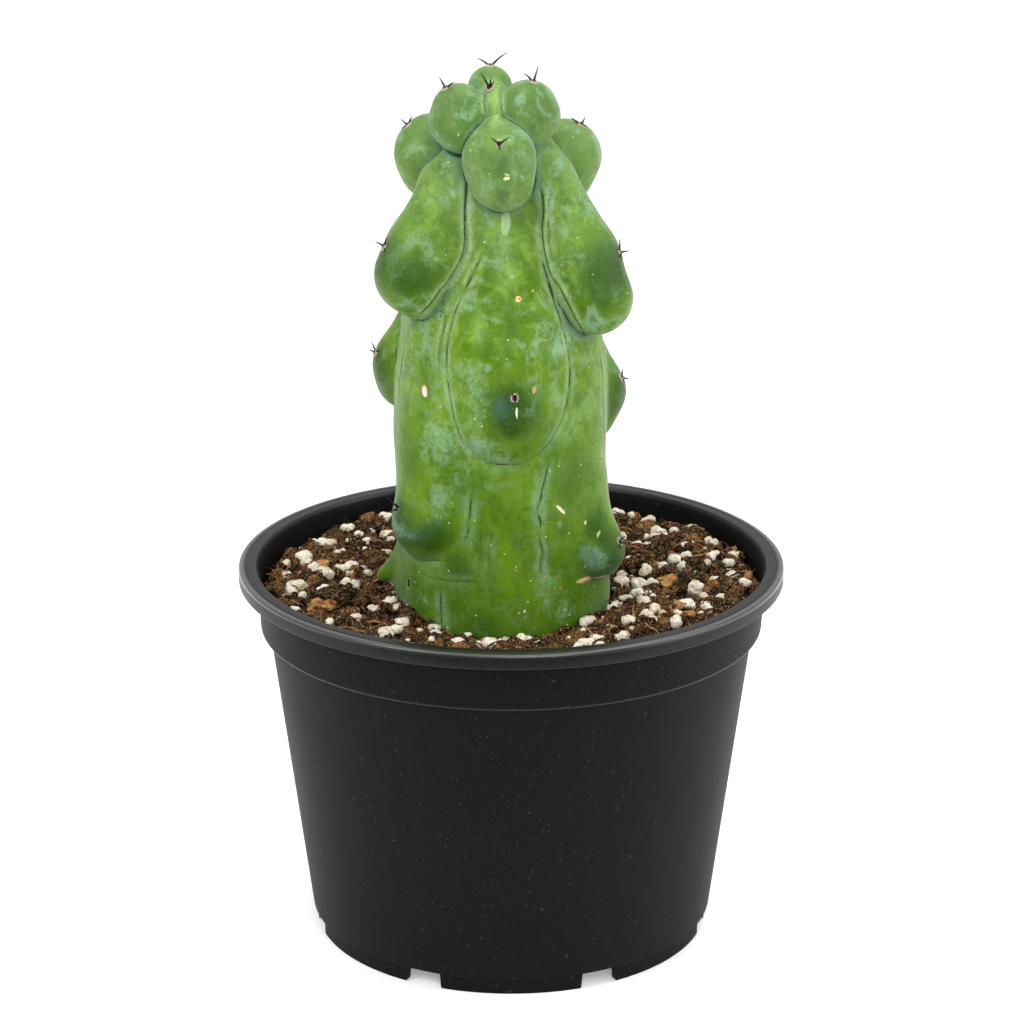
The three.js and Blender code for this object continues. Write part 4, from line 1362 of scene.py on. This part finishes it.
def spineMaterial():
    tree = Finish("blackSpine", Specular_IOR_Level=0.5)
    place = tree.place()
    along = tree.attribute("along")
    mottle = tree.noise(place, 0.5, detail=3)
    colour = tree.tint(paint(48, 30, 28), paint(20, 15, 18), tree.fade(along, 0.02, 0.3))
    colour = tree.tint(colour, paint(92, 60, 56), tree.fade(along + (mottle - 0.5) * 0.3, 0.78, 1.05) * 0.8)
    colour = tree.tint(colour, paint(70, 52, 46), tree.fade(mottle, 0.6, 0.8) * 0.5)
    tree.vary("Roughness", 0.35 + mottle * 0.25)
    return tree.coat(colour, mottle, 0.05, 0.3)


def padMaterial():
    tree = Finish("areoleFelt", Roughness=0.95, Specular_IOR_Level=0.2)
    place = tree.place()
    grit = tree.noise(place, 0.25, detail=3, rough=0.7)
    rim = tree.attribute("along")
    colour = tree.tint(paint(50, 30, 24), paint(214, 198, 174), tree.fade(rim + (grit - 0.5) * 1.2, 0.6, 1.0))
    return tree.coat(colour, grit, 0.2, 0.8)


def woolMaterial():
    tree = Finish("areoleWool", Roughness=0.9, Specular_IOR_Level=0.3)
    tuft = tree.noise(tree.place(), 0.7, detail=2)
    tree.vary("Base Color", tree.tint(
        paint(186, 164, 140), paint(248, 243, 232), tree.fade(tuft, 0.35, 0.55)))
    return tree.material


def areolePad(seat, normal):
    # a flattened button on the skin, and how far out each of its points lies
    upward = np.array([0, 0, 1]) - normal * normal[2]
    if np.linalg.norm(upward) < 0.3:
        upward = np.array([0, 1, 0]) - normal * normal[1]
    upward /= np.linalg.norm(upward)
    sideways = np.cross(upward, normal)
    rings, outwards = [], []
    for spread, rise in areole["padRings"]:
        turns = np.arange(1 if spread == 0 else areole["padSides"]) * 2 * math.pi / areole["padSides"]
        rings.append(seat + spread * (np.outer(np.cos(turns) * areole["padWidth"], sideways)
                                      + np.outer(np.sin(turns) * areole["padLength"], upward))
                     + rise * areole["padHeight"] * normal)
        outwards += [spread if rise > 0 else 1.0] * len(turns)
    points, faces = skinRings(rings)
    return points, faces, outwards


def spineLine(seat, normal, tip):
    # a slightly bowed line from inside the pad to the spine's point, with its share and radius at each step
    tip = np.array(tip, float)
    start = seat + 0.25 * tip / np.linalg.norm(tip) - normal * 0.3
    bow = (normal - normal @ tip * tip / (tip @ tip)) * areole["bow"] * np.linalg.norm(tip)
    wide, narrow = areole["spineWidth"], areole["spinePoint"]
    steps = []
    for share in np.linspace(0, 1, areole["spineSteps"]):
        place = start + (seat + tip - start) * share + bow * 4 * share * (1 - share)
        foot = 1 + areole["spineFoot"] * math.exp(-(share / 0.12) ** 2)
        steps.append((place, share, (narrow + (wide - narrow) * (1 - share) ** 0.8) * foot * metre))
    return steps


def buildAreoles():
    tree = areoleTree()
    spine, felt, wool = spineMaterial(), padMaterial(), woolMaterial()
    for number, (name, tips) in enumerate(spineTips.items()):
        seat, normal = areoleSeat(name)
        points, faces, shares = areolePad(seat, normal)
        points, thickness, edges = list(points), [0.0] * len(points), []
        for tip in tips:
            first = len(points)
            for place, share, radius in spineLine(seat, normal, tip):
                points.append(place)
                shares.append(share)
                thickness.append(radius)
            edges += [(i, i + 1) for i in range(first, len(points) - 1)]
        mesh = bpy.data.meshes.new(name)
        mesh.from_pydata((np.array(points) * metre).tolist(), edges, faces)
        mesh.polygons.foreach_set("use_smooth", [True] * len(faces))
        giveAttribute(mesh, "thickness", thickness)
        giveAttribute(mesh, "along", shares)
        mesh.materials.append(felt)
        blank = linked("blank", mesh)
        made = runTree(blank, tree, {
            "Hairs Per Area": areole["hairsPerArea"], "Hair Length": areole["hairLength"] * metre,
            "Hair Width": areole["hairWidth"] * metre, "Seed": number, "Spine": spine, "Wool": wool})
        bpy.data.objects.remove(blank)
        settle(linked("spines_" + name, made), "spine", "areole_" + name)


buildAreoles()
print("areoles ready")


# Soil: one body with a dished, cloddy top, and loose grains scattered on it by a node tree

soil = {
    "topEdge": 100.6,
    "topStem": 98.0,
    "topRadius": 67.8,
    "dish": (28, 50),  # distances from the stem's axis between which the top rises
    "mounds": [(-30, -26, 8, 3.4), (-34, -13, 6, 2), (-1, -40, 9, -1.2)],  # across, back, reach, rise
    "wall": [(52.9, 6.6), (54.0, 8.6), (65.9, 90), (68.4, 91), (69.0, 99.2), (68.6, 100.0)],
    "around": 320,
    "across": 66,
    "clods": ((13, 1.1, 51), (5, 0.9, 52), (2.0, 0.45, 53)),  # width, height, seed
    "socketGap": 0.25,
    "socketHeights": (96.5, 94, 91, 87, 83, 79, 75.5, 73, 71.8),
    "socketFloor": 71.6,
    "socketLeast": 8,  # radius
    "sunk": 0.6,  # the body's top lies this far below the usual level of the grains
    "clearAt": 1.5,  # grains keep off the stem as thick as it is this far above the top
    "grainShare": 0.75,  # and off the loose nodes by this share of their radius
    "grainLimit": 69.1,  # no grain reaches further from the pot's axis
}

# loose pieces that are nodes of their own: turn from the front, distance from the pot's axis, radius
perliteGrains = [(-82, 59.7, 3.3), (-120, 63, 2), (-60, 43.5, 2.5), (-38, 54.5, 2.3), (89, 35.8, 2.4),
                 (101, 50.9, 2.9), (81, 51.7, 2.2), (134, 58.8, 2.1), (47, 51.4, 2.2), (32, 56, 2),
                 (-27, 46, 2), (8, 53.4, 2.1), (172, 47, 2.6), (-163, 54, 2.2)]
barkChips = [(88, 44, 2.9), (58, 57, 2.4), (-67, 56.3, 3.5), (-101, 54.7, 2.8), (152, 42, 2.9)]

# more pieces that show on the mix, without a node of their own: across, back, radius
seenPerlite = [(-56, 32, 1.5), (-59, 18, 1.4), (-47, 43, 1.4), (-36, 36, 1.7), (-46, -7, 1.7),
               (-49, -35, 1.4), (-42, -31, 1.4), (31, 1, 1.8), (46, 13, 1.9), (38.5, -12, 1.5),
               (53, -24, 1.4), (49, -21, 1.7), (39, -28, 1.7), (32, -33, 1.8), (58, 27, 1.4), (62, 2, 1.7),
               (-25, -39, 1.4), (-14, -52, 1.8), (16, -47, 1.7), (-34, -22, 1.3), (-53, 5, 1.2),
               (36, 30, 1.5), (44, 37, 1.4)]
seenClods = [(-48, -18, 4.4), (-44, 22, 3.2), (10.6, -46, 2.2), (52, 8, 3), (45, 24, 3.2), (57, -12, 2.6),
             (-57, -3, 2.6), (36, -40, 2.4), (-20, -50, 2.2), (-33, 44, 3), (30, 48, 3.2), (-8, 52, 3)]


def stemContour(turns, height):
    # distance from the stem's axis to the stem's skin, at angles measured anticlockwise from the right
    ways = np.stack([np.cos(turns), np.sin(turns), np.zeros(len(turns))], axis=1)
    return strideIn(np.array([*stem["axis"], height]), ways, start=62, strides=40, stride=0.95)


def soilTop(x, y):
    # the height of the mix, and how far its clods rise over that
    fromStem = np.hypot(x - stem["axis"][0], y - stem["axis"][1])
    height = soil["topStem"] + (soil["topEdge"] - soil["topStem"]) * ease(fromStem, *soil["dish"])
    for across, back, reach, rise in soil["mounds"]:
        height = height + rise * np.exp(-((x - across) ** 2 + (y - back) ** 2) / reach ** 2)
    points = np.stack([x, y, np.zeros(len(x))], axis=1)
    rough = sum(rise * softNoise(points, width, seed) for width, rise, seed in soil["clods"])
    return height, rough


def peatMaterial():
    tree = Finish("deepPeat", Roughness=0.95, Specular_IOR_Level=0.05)
    place = tree.place()
    clump = tree.noise(place, 3.5, detail=4, rough=0.7)
    grit = tree.noise(place, 0.5, detail=4, rough=0.75, warp=1.0)
    # dark peat, kept near black so that the gaps between the crumbs show painted shade
    colour = tree.tint(paint(9, 6, 4), paint(38, 24, 13), tree.fade(clump, 0.35, 0.65))
    colour = tree.tint(colour, paint(112, 76, 42), tree.fade(grit, 0.58, 0.74) * 0.4)
    return tree.coat(colour, grit + clump, 0.7)


def buildSoil():
    count = soil["around"]
    turns = fullTurn(count)
    ways = np.stack([np.cos(turns), np.sin(turns)], axis=1)
    axis = np.array(stem["axis"])

    def reachTo(radius):
        # how far from the stem's axis a circle about the pot's axis lies
        along = ways @ axis
        return -along + np.sqrt(along ** 2 - axis @ axis + radius ** 2)

    def ring(reach, heights):
        place = axis + ways * np.reshape(reach, (-1, 1))
        return np.column_stack([place, np.broadcast_to(heights, count)])

    rings = [np.array([[0, 0, soil["wall"][0][1]]])]
    rings += [ring(reachTo(radius), height) for radius, height in soil["wall"]]
    outer, inner = reachTo(soil["topRadius"]), stemContour(turns, soil["topStem"]) + soil["socketGap"]
    firstTop = sum(len(part) for part in rings)
    for i in range(soil["across"] + 1):
        share = i / soil["across"]
        reach = outer + (inner - outer) * share
        place = axis + ways * reach[:, None]
        height, rough = soilTop(place[:, 0], place[:, 1])
        calm = 0.45 + 0.55 * ease(share, 0, 0.08) * (1 - 0.8 * ease(share, 0.9, 1))
        rings.append(ring(reach, height - soil["sunk"] + rough * calm))
    lastTop = sum(len(part) for part in rings)
    for height in soil["socketHeights"]:
        socket = np.maximum(stemContour(turns, height), soil["socketLeast"])
        rings.append(ring(socket + soil["socketGap"], height))
    rings.append(np.array([[*axis, soil["socketFloor"]]]))
    points, faces = skinRings(rings)
    body = objectFrom("potting_soil", points, faces, [peatMaterial()])
    room = np.zeros(len(points))
    top = points[firstTop:lastTop]
    clear = np.minimum(soil["grainLimit"] - np.hypot(top[:, 0], top[:, 1]),
                       stemField(top + (0, 0, soil["clearAt"])))
    for turn, distance, radius in perliteGrains + barkChips:
        centre = distance * facingVector(turn)
        away = np.hypot(top[:, 0] - centre[0], top[:, 1] - centre[1])
        clear = np.minimum(clear, away - soil["grainShare"] * radius)
    room[firstTop:lastTop] = np.maximum(clear, 0) * metre
    giveAttribute(body.data, "room", room)
    return body


def grainShape(nodes, shape):
    # a rough ball, flake or bent thread about 2 units across, with few faces
    if shape == "round":
        return nodes.add("GeometryNodeMeshIcoSphere", None, {"Radius": 1.0, "Subdivisions": 2})["Mesh"]
    if shape == "flat":
        return nodes.add("GeometryNodeMeshCube", None, {
            "Size": (2.0, 0.85, 0.34), "Vertices X": 6, "Vertices Y": 3, "Vertices Z": 2})["Mesh"]
    return nodes.tube(nodes.bentLine(7, (-1, 0, 0), (0.1, 0.5, 0.35), (1, 0, 0)), 4, 0.055, 1.0)


def scatterTree(name, shape):
    # loose grains on the top: points kept apart, each with a shape of its own size, turn and lumps
    nodes, given = geometryTree(name, {
        "Spacing": 0.002, "Per Area": 1e6, "Smallest": 0.001,
        "Largest": 0.002, "Bias": 2.0, "Need": 0.0, "Tilt": 3.1,
        "Rise": 0.0, "Copies": 1, "Spread": 0.0, "Lumps": 0.5,
        "Lump Size": 1.0, "Seed": 1, "Finish": "Material"})
    seed = given["Seed"]
    enough = nodes.above(nodes.named("room"), given["Need"])
    spread = nodes.add("GeometryNodeDistributePointsOnFaces", {"distribute_method": "POISSON"}, {
        "Mesh": given["Geometry"], "Selection": enough, "Distance Min": given["Spacing"],
        "Density Max": given["Per Area"], "Seed": seed})
    share = nodes.chance(0.0, 1.0, seed + 1) ** given["Bias"]
    wanted = given["Smallest"] + (given["Largest"] - given["Smallest"]) * share
    points = spread["Points"]
    for key, value in (("grainSize", nodes.maths("MINIMUM", wanted, nodes.named("room") + 0.0002)),
                       ("tint", nodes.chance(0.0, 1.0, seed + 2))):
        points = nodes.add("GeometryNodeStoreNamedAttribute", {"data_type": "FLOAT", "domain": "POINT"}, {
            "Geometry": points, "Name": key, "Value": value})["Geometry"]
    size = nodes.named("grainSize")
    points = nodes.add("GeometryNodeDuplicateElements", {"domain": "POINT"}, {
        "Geometry": points, "Amount": given["Copies"]})
    isCopy = nodes.maths("MINIMUM", points["Duplicate Index"], 1.0)
    aside = nodes.scaled(nodes.anyWay((-1, -1, -0.3), (1, 1, 0.4), seed + 3), size * given["Spread"] * isCopy)
    lift = nodes.turnsOf(Z=size * given["Rise"])
    moved = nodes.add("GeometryNodeSetPosition", None, {
        "Geometry": points["Geometry"], "Offset": nodes.vectors("ADD", aside, lift)})["Geometry"]
    tilt = nodes.turnsOf(X=nodes.chance(-1.0, 1.0, seed + 4) * given["Tilt"],
                         Y=nodes.chance(-1.0, 1.0, seed + 5) * given["Tilt"],
                         Z=nodes.chance(0.0, 6.28, seed + 6))
    narrowest, widest = ((0.75,) * 3, (1.25,) * 3) if shape == "round" else ((0.7, 0.6, 0.6), (1.3, 1.4, 1.4))
    smaller = 1 - 0.35 * nodes.chance(0.0, 1.0, seed + 8) * isCopy
    solid = nodes.copies(moved, grainShape(nodes, shape), Rotation=tilt,
                         Scale=nodes.scaled(nodes.anyWay(narrowest, widest, seed + 7), size * smaller))
    # lumps that suit each grain's size
    place = nodes.add("GeometryNodeInputPosition")["Position"]
    rough = nodes.add("ShaderNodeTexNoise", None, {
        "Vector": nodes.scaled(place, 1 / (size * given["Lump Size"])),
        "Scale": 1.0, "Detail": 2.0, "Roughness": 0.6})
    push = nodes.scaled(nodes.vectors("SUBTRACT", rough["Color"], (0.5, 0.5, 0.5)), size * given["Lumps"] * 2)
    solid = nodes.add("GeometryNodeSetPosition", None, {"Geometry": solid, "Offset": push})["Geometry"]
    solid = nodes.add("GeometryNodeSetShadeSmooth", None, {
        "Geometry": solid, "Shade Smooth": shape != "flat"})["Geometry"]
    return closeTree(nodes, nodes.coated(solid, given["Finish"]))


def crumbMaterial():
    tree = Finish("peatCrumb", Roughness=0.95, Specular_IOR_Level=0.08)
    place = tree.place()
    grit = tree.noise(place, 0.42, detail=4, rough=0.8, warp=1.2)
    patch = tree.noise(place, 2.2, detail=3)
    kind = tree.attribute("tint")
    speckle = tree.noise(place, 0.95, detail=3, rough=0.7, warp=1.5)
    colour = tree.tint(paint(20, 12, 6), paint(98, 65, 36), tree.fade(kind, 0.16, 0.84))
    # near-black speckles are painted shade in the pits between tiny grains; pale tan speckles are partly
    # paler grit, partly painted highlights on the grains
    colour = tree.layers(
        colour,
        ((154, 108, 62), tree.fade(kind + (patch - 0.5) * 0.6, 0.74, 1.05) * 0.8),
        ((8, 5, 3), tree.fade(speckle, 0.5, 0.4) * 0.95),
        ((8, 5, 3), tree.fade(grit, 0.48, 0.36) * 0.7),
        ((204, 162, 112), tree.fade(speckle, 0.53, 0.64) * 0.75),
        ((222, 184, 134), tree.fade(grit, 0.56, 0.68) * 0.6))
    return tree.coat(colour, grit * 0.5 + speckle, 1)


def fibreMaterial():
    tree = Finish("coirFibre", Roughness=0.85, Specular_IOR_Level=0.3)
    place = tree.place()
    kind = tree.attribute("tint")
    streak = tree.noise(place, 0.5, detail=3, rough=0.7)
    colour = tree.tint(paint(56, 36, 20), paint(152, 108, 64), tree.fade(kind, 0.35, 1.0))
    colour = tree.tint(colour, paint(34, 22, 12), tree.fade(streak, 0.5, 0.3) * 0.8)
    colour = tree.tint(colour, paint(206, 166, 116), tree.fade(streak, 0.6, 0.75))
    return tree.coat(colour, streak, 0.3, 0.8)


def perliteMaterial():
    tree = Finish("chalkyPerlite", Roughness=0.9, Specular_IOR_Level=0.3)
    place = tree.place()
    broad = tree.noise(place, 2.4, detail=3)
    pores = tree.noise(place, 0.45, detail=3, rough=0.7)
    tone = tree.noise(place, 6, detail=1)
    colour = tree.tint(paint(214, 198, 170), paint(250, 242, 224), tree.fade(broad, 0.3, 0.52))
    colour = tree.tint(colour, paint(204, 168, 118), tree.fade(broad * 0.6 + tone * 0.6, 0.62, 0.76) * 0.7)
    colour = tree.tint(colour, paint(112, 88, 62), tree.fade(pores, 0.45, 0.34) * 0.85)
    return tree.coat(colour, pores + broad * 0.4, 0.8)


def barkMaterial():
    tree = Finish("tanBark", Roughness=0.9, Specular_IOR_Level=0.25)
    place = tree.place()
    patch = tree.noise(place, 3.2, detail=3)
    grain = tree.noise(tree.stretch(place, (0.5, 1.0, 1.6)), 0.6, detail=4, rough=0.75, warp=1.5)
    colour = tree.tint(paint(122, 78, 42), paint(206, 152, 92), tree.fade(patch, 0.35, 0.62))
    colour = tree.tint(colour, paint(60, 38, 20), tree.fade(grain, 0.46, 0.32) * 0.85)
    colour = tree.tint(colour, paint(232, 192, 136), tree.fade(grain, 0.58, 0.72) * 0.7)
    return tree.coat(colour, grain + patch * 0.4, 0.6)


scatters = {
    "soil_clods": {"shape": "round", "finish": "crumb", "Spacing": 3.4, "Per Area": 9e4, "Smallest": 1.4,
                   "Largest": 3.0, "Bias": 1.6, "Need": 1.6, "Rise": 0.1, "Copies": 3, "Spread": 0.8,
                   "Lumps": 0.62, "Lump Size": 0.7, "Seed": 11},
    "soil_crumbs": {"shape": "round", "finish": "crumb", "Spacing": 1.6, "Per Area": 4e5, "Smallest": 0.4,
                    "Largest": 1.5, "Bias": 2.0, "Need": 0.4, "Rise": 0.6, "Lumps": 0.75, "Lump Size": 0.7,
                    "Seed": 23},
    "soil_perlite": {"shape": "round", "finish": "perlite", "Spacing": 3.6, "Per Area": 4e4, "Smallest": 0.4,
                     "Largest": 1.6, "Bias": 1.3, "Need": 0.8, "Rise": 1.1, "Copies": 4, "Spread": 0.9,
                     "Lumps": 0.36, "Lump Size": 0.6, "Seed": 31},
    "soil_flakes": {"shape": "flat", "finish": "fibre", "Spacing": 3.4, "Per Area": 1e5, "Smallest": 0.7,
                    "Largest": 2.4, "Bias": 2.0, "Need": 1.2, "Rise": 0.45, "Tilt": 0.9, "Lumps": 0.4,
                    "Lump Size": 0.45, "Seed": 43},
    "soil_fibres": {"shape": "thread", "finish": "fibre", "Spacing": 2.2, "Per Area": 1.5e5, "Smallest": 1.2,
                    "Largest": 5.0, "Bias": 1.8, "Need": 1.5, "Rise": 0.35, "Tilt": 0.45, "Lumps": 0.35,
                    "Lump Size": 0.6, "Seed": 57},
}
lengths = ("Spacing", "Smallest", "Largest", "Need")  # of these inputs, in millimetres


def dressSoil():
    # the mix with everything scattered on it; returns the two materials that the placed lumps share
    body = buildSoil()
    finishes = {"crumb": crumbMaterial(), "perlite": perliteMaterial(), "fibre": fibreMaterial()}
    for name, choice in scatters.items():
        tree = scatterTree(name + "Tree", choice["shape"])
        values = {key: value * metre if key in lengths else value
                  for key, value in choice.items() if key not in ("shape", "finish")}
        values["Finish"] = finishes[choice["finish"]]
        piece = linked(name, runTree(body, tree, values))
        settle(piece, "perlite" if choice["finish"] == "perlite" else "potting_mix")
        print(name, "triangles", triangleCount(piece.data))
    body.data.attributes.remove(body.data.attributes["room"])
    settle(body, "potting_mix", "soil")
    return finishes["perlite"], finishes["crumb"]


# A loose grain is a ball grown out by a few overlapping knobs, roughened, pitted and set to size.
# These are shares of the ball's radius.
lumpShape = {
    "core": 0.6,
    "power": 8,  # joins the knobs' reaches; a high one keeps soft valleys between them
    "knobAt": (0.3, 0.6),
    "knobSize": (0.42, 0.62),
    "bumps": (0.42, 0.12),
    "pitDepth": (0.05, 0.16),
    "pitWidth": (0.08, 0.16),
}
grainLooks = {
    "perlite_grain": {"knobs": 7, "pits": 46, "roughness": 0.09, "level": 4},
    "bark_chip": {"knobs": 6, "pits": 50, "roughness": 0.2, "level": 4},
    "soil_perlite_seen": {"knobs": 7, "pits": 30, "roughness": 0.09, "level": 3},
    "soil_clods_seen": {"knobs": 8, "pits": 50, "roughness": 0.22, "level": 3},
}
roundest = (3, 8)  # a perlite grain wider than this from its middle gets this many more knobs


def lump(size, seed, knobs, pits, roughness, level):
    # a grain with these half sizes about its middle, and a random turn for it
    random = np.random.default_rng(seed)
    power = lumpShape["power"]
    ball = bmesh.new()
    bmesh.ops.create_icosphere(ball, subdivisions=level, radius=1)
    ways = np.array([corner.co for corner in ball.verts])
    faces = [[corner.index for corner in face.verts] for face in ball.faces]
    ball.free()
    reach = np.full(len(ways), lumpShape["core"]) ** power
    for _ in range(knobs):
        centre = random.normal(size=3)
        centre *= random.uniform(*lumpShape["knobAt"]) / np.linalg.norm(centre)
        knob = random.uniform(*lumpShape["knobSize"])
        along = ways @ centre
        inside = along ** 2 - (centre @ centre - knob ** 2)
        reach += np.where(inside > 0, np.maximum(along + np.sqrt(np.maximum(inside, 0)), 0), 0) ** power
    reach = reach ** (1 / power)
    broad, fine = lumpShape["bumps"]
    reach += roughness * softNoise(ways, broad, seed, 3) + 0.5 * roughness * softNoise(ways, fine, seed + 1)
    for _ in range(pits):
        centre = random.normal(size=3)
        centre /= np.linalg.norm(centre)
        gap = np.linalg.norm(ways - centre, axis=1)
        depth = random.uniform(*lumpShape["pitDepth"])
        reach -= depth * np.exp(-(gap / random.uniform(*lumpShape["pitWidth"])) ** 2)
    points = ways * reach[:, None]
    low, high = points.min(axis=0), points.max(axis=0)
    points = (points - (low + high) / 2) / ((high - low) / 2)
    turn = random.uniform(0, 2 * math.pi)
    return points * size, faces, turn


def placeSeen(name, grains, material, slot, rise):
    # lumps placed at the listed spots on the soil's top, as one mesh; rise is a share of their radius
    points, faces = [], []
    for number, (across, back, radius) in enumerate(grains):
        size = np.array((1.1, 0.95, 0.9)) * (radius * 1.15)
        corners, sides, turn = lump(size, 300 + 11 * number, **grainLooks[name])
        cosine, sine = math.cos(turn), math.sin(turn)
        corners = corners @ np.array([(cosine, sine, 0), (-sine, cosine, 0), (0, 0, 1)])
        height, rough = soilTop(np.array([across]), np.array([back]))
        faces += [[corner + len(corners) * number for corner in side] for side in sides]
        points.append(corners + (across, back, (height + rough)[0] + radius * rise))
    settle(objectFrom(name, np.vstack(points), faces, [material]), slot)


def buildGrains(perlite, crumb):
    sets = (("perlite_grain", perliteGrains, perlite, "perlite"),
            ("bark_chip", barkChips, barkMaterial(), "bark"))
    for name, grains, material, slot in sets:
        for number, _ in enumerate(grains, 1):
            node = f"{name}_{number:02d}"
            low, high = (np.array(corner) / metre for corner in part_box(node))
            looks = dict(grainLooks[name])
            if slot == "perlite" and (high - low)[0] / 2 > roundest[0]:
                looks["knobs"] += roundest[1]
            points, faces, _ = lump((high - low) / 2 * 1.06, 104 + 7 * number, **looks)
            settle(objectFrom("loose_" + node, points + (low + high) / 2, faces, [material]), slot, node)
    placeSeen("soil_perlite_seen", seenPerlite, perlite, "perlite", 0.4)
    placeSeen("soil_clods_seen", seenClods, crumb, "potting_mix", 0.25)


buildGrains(*dressSoil())
print("soil ready")
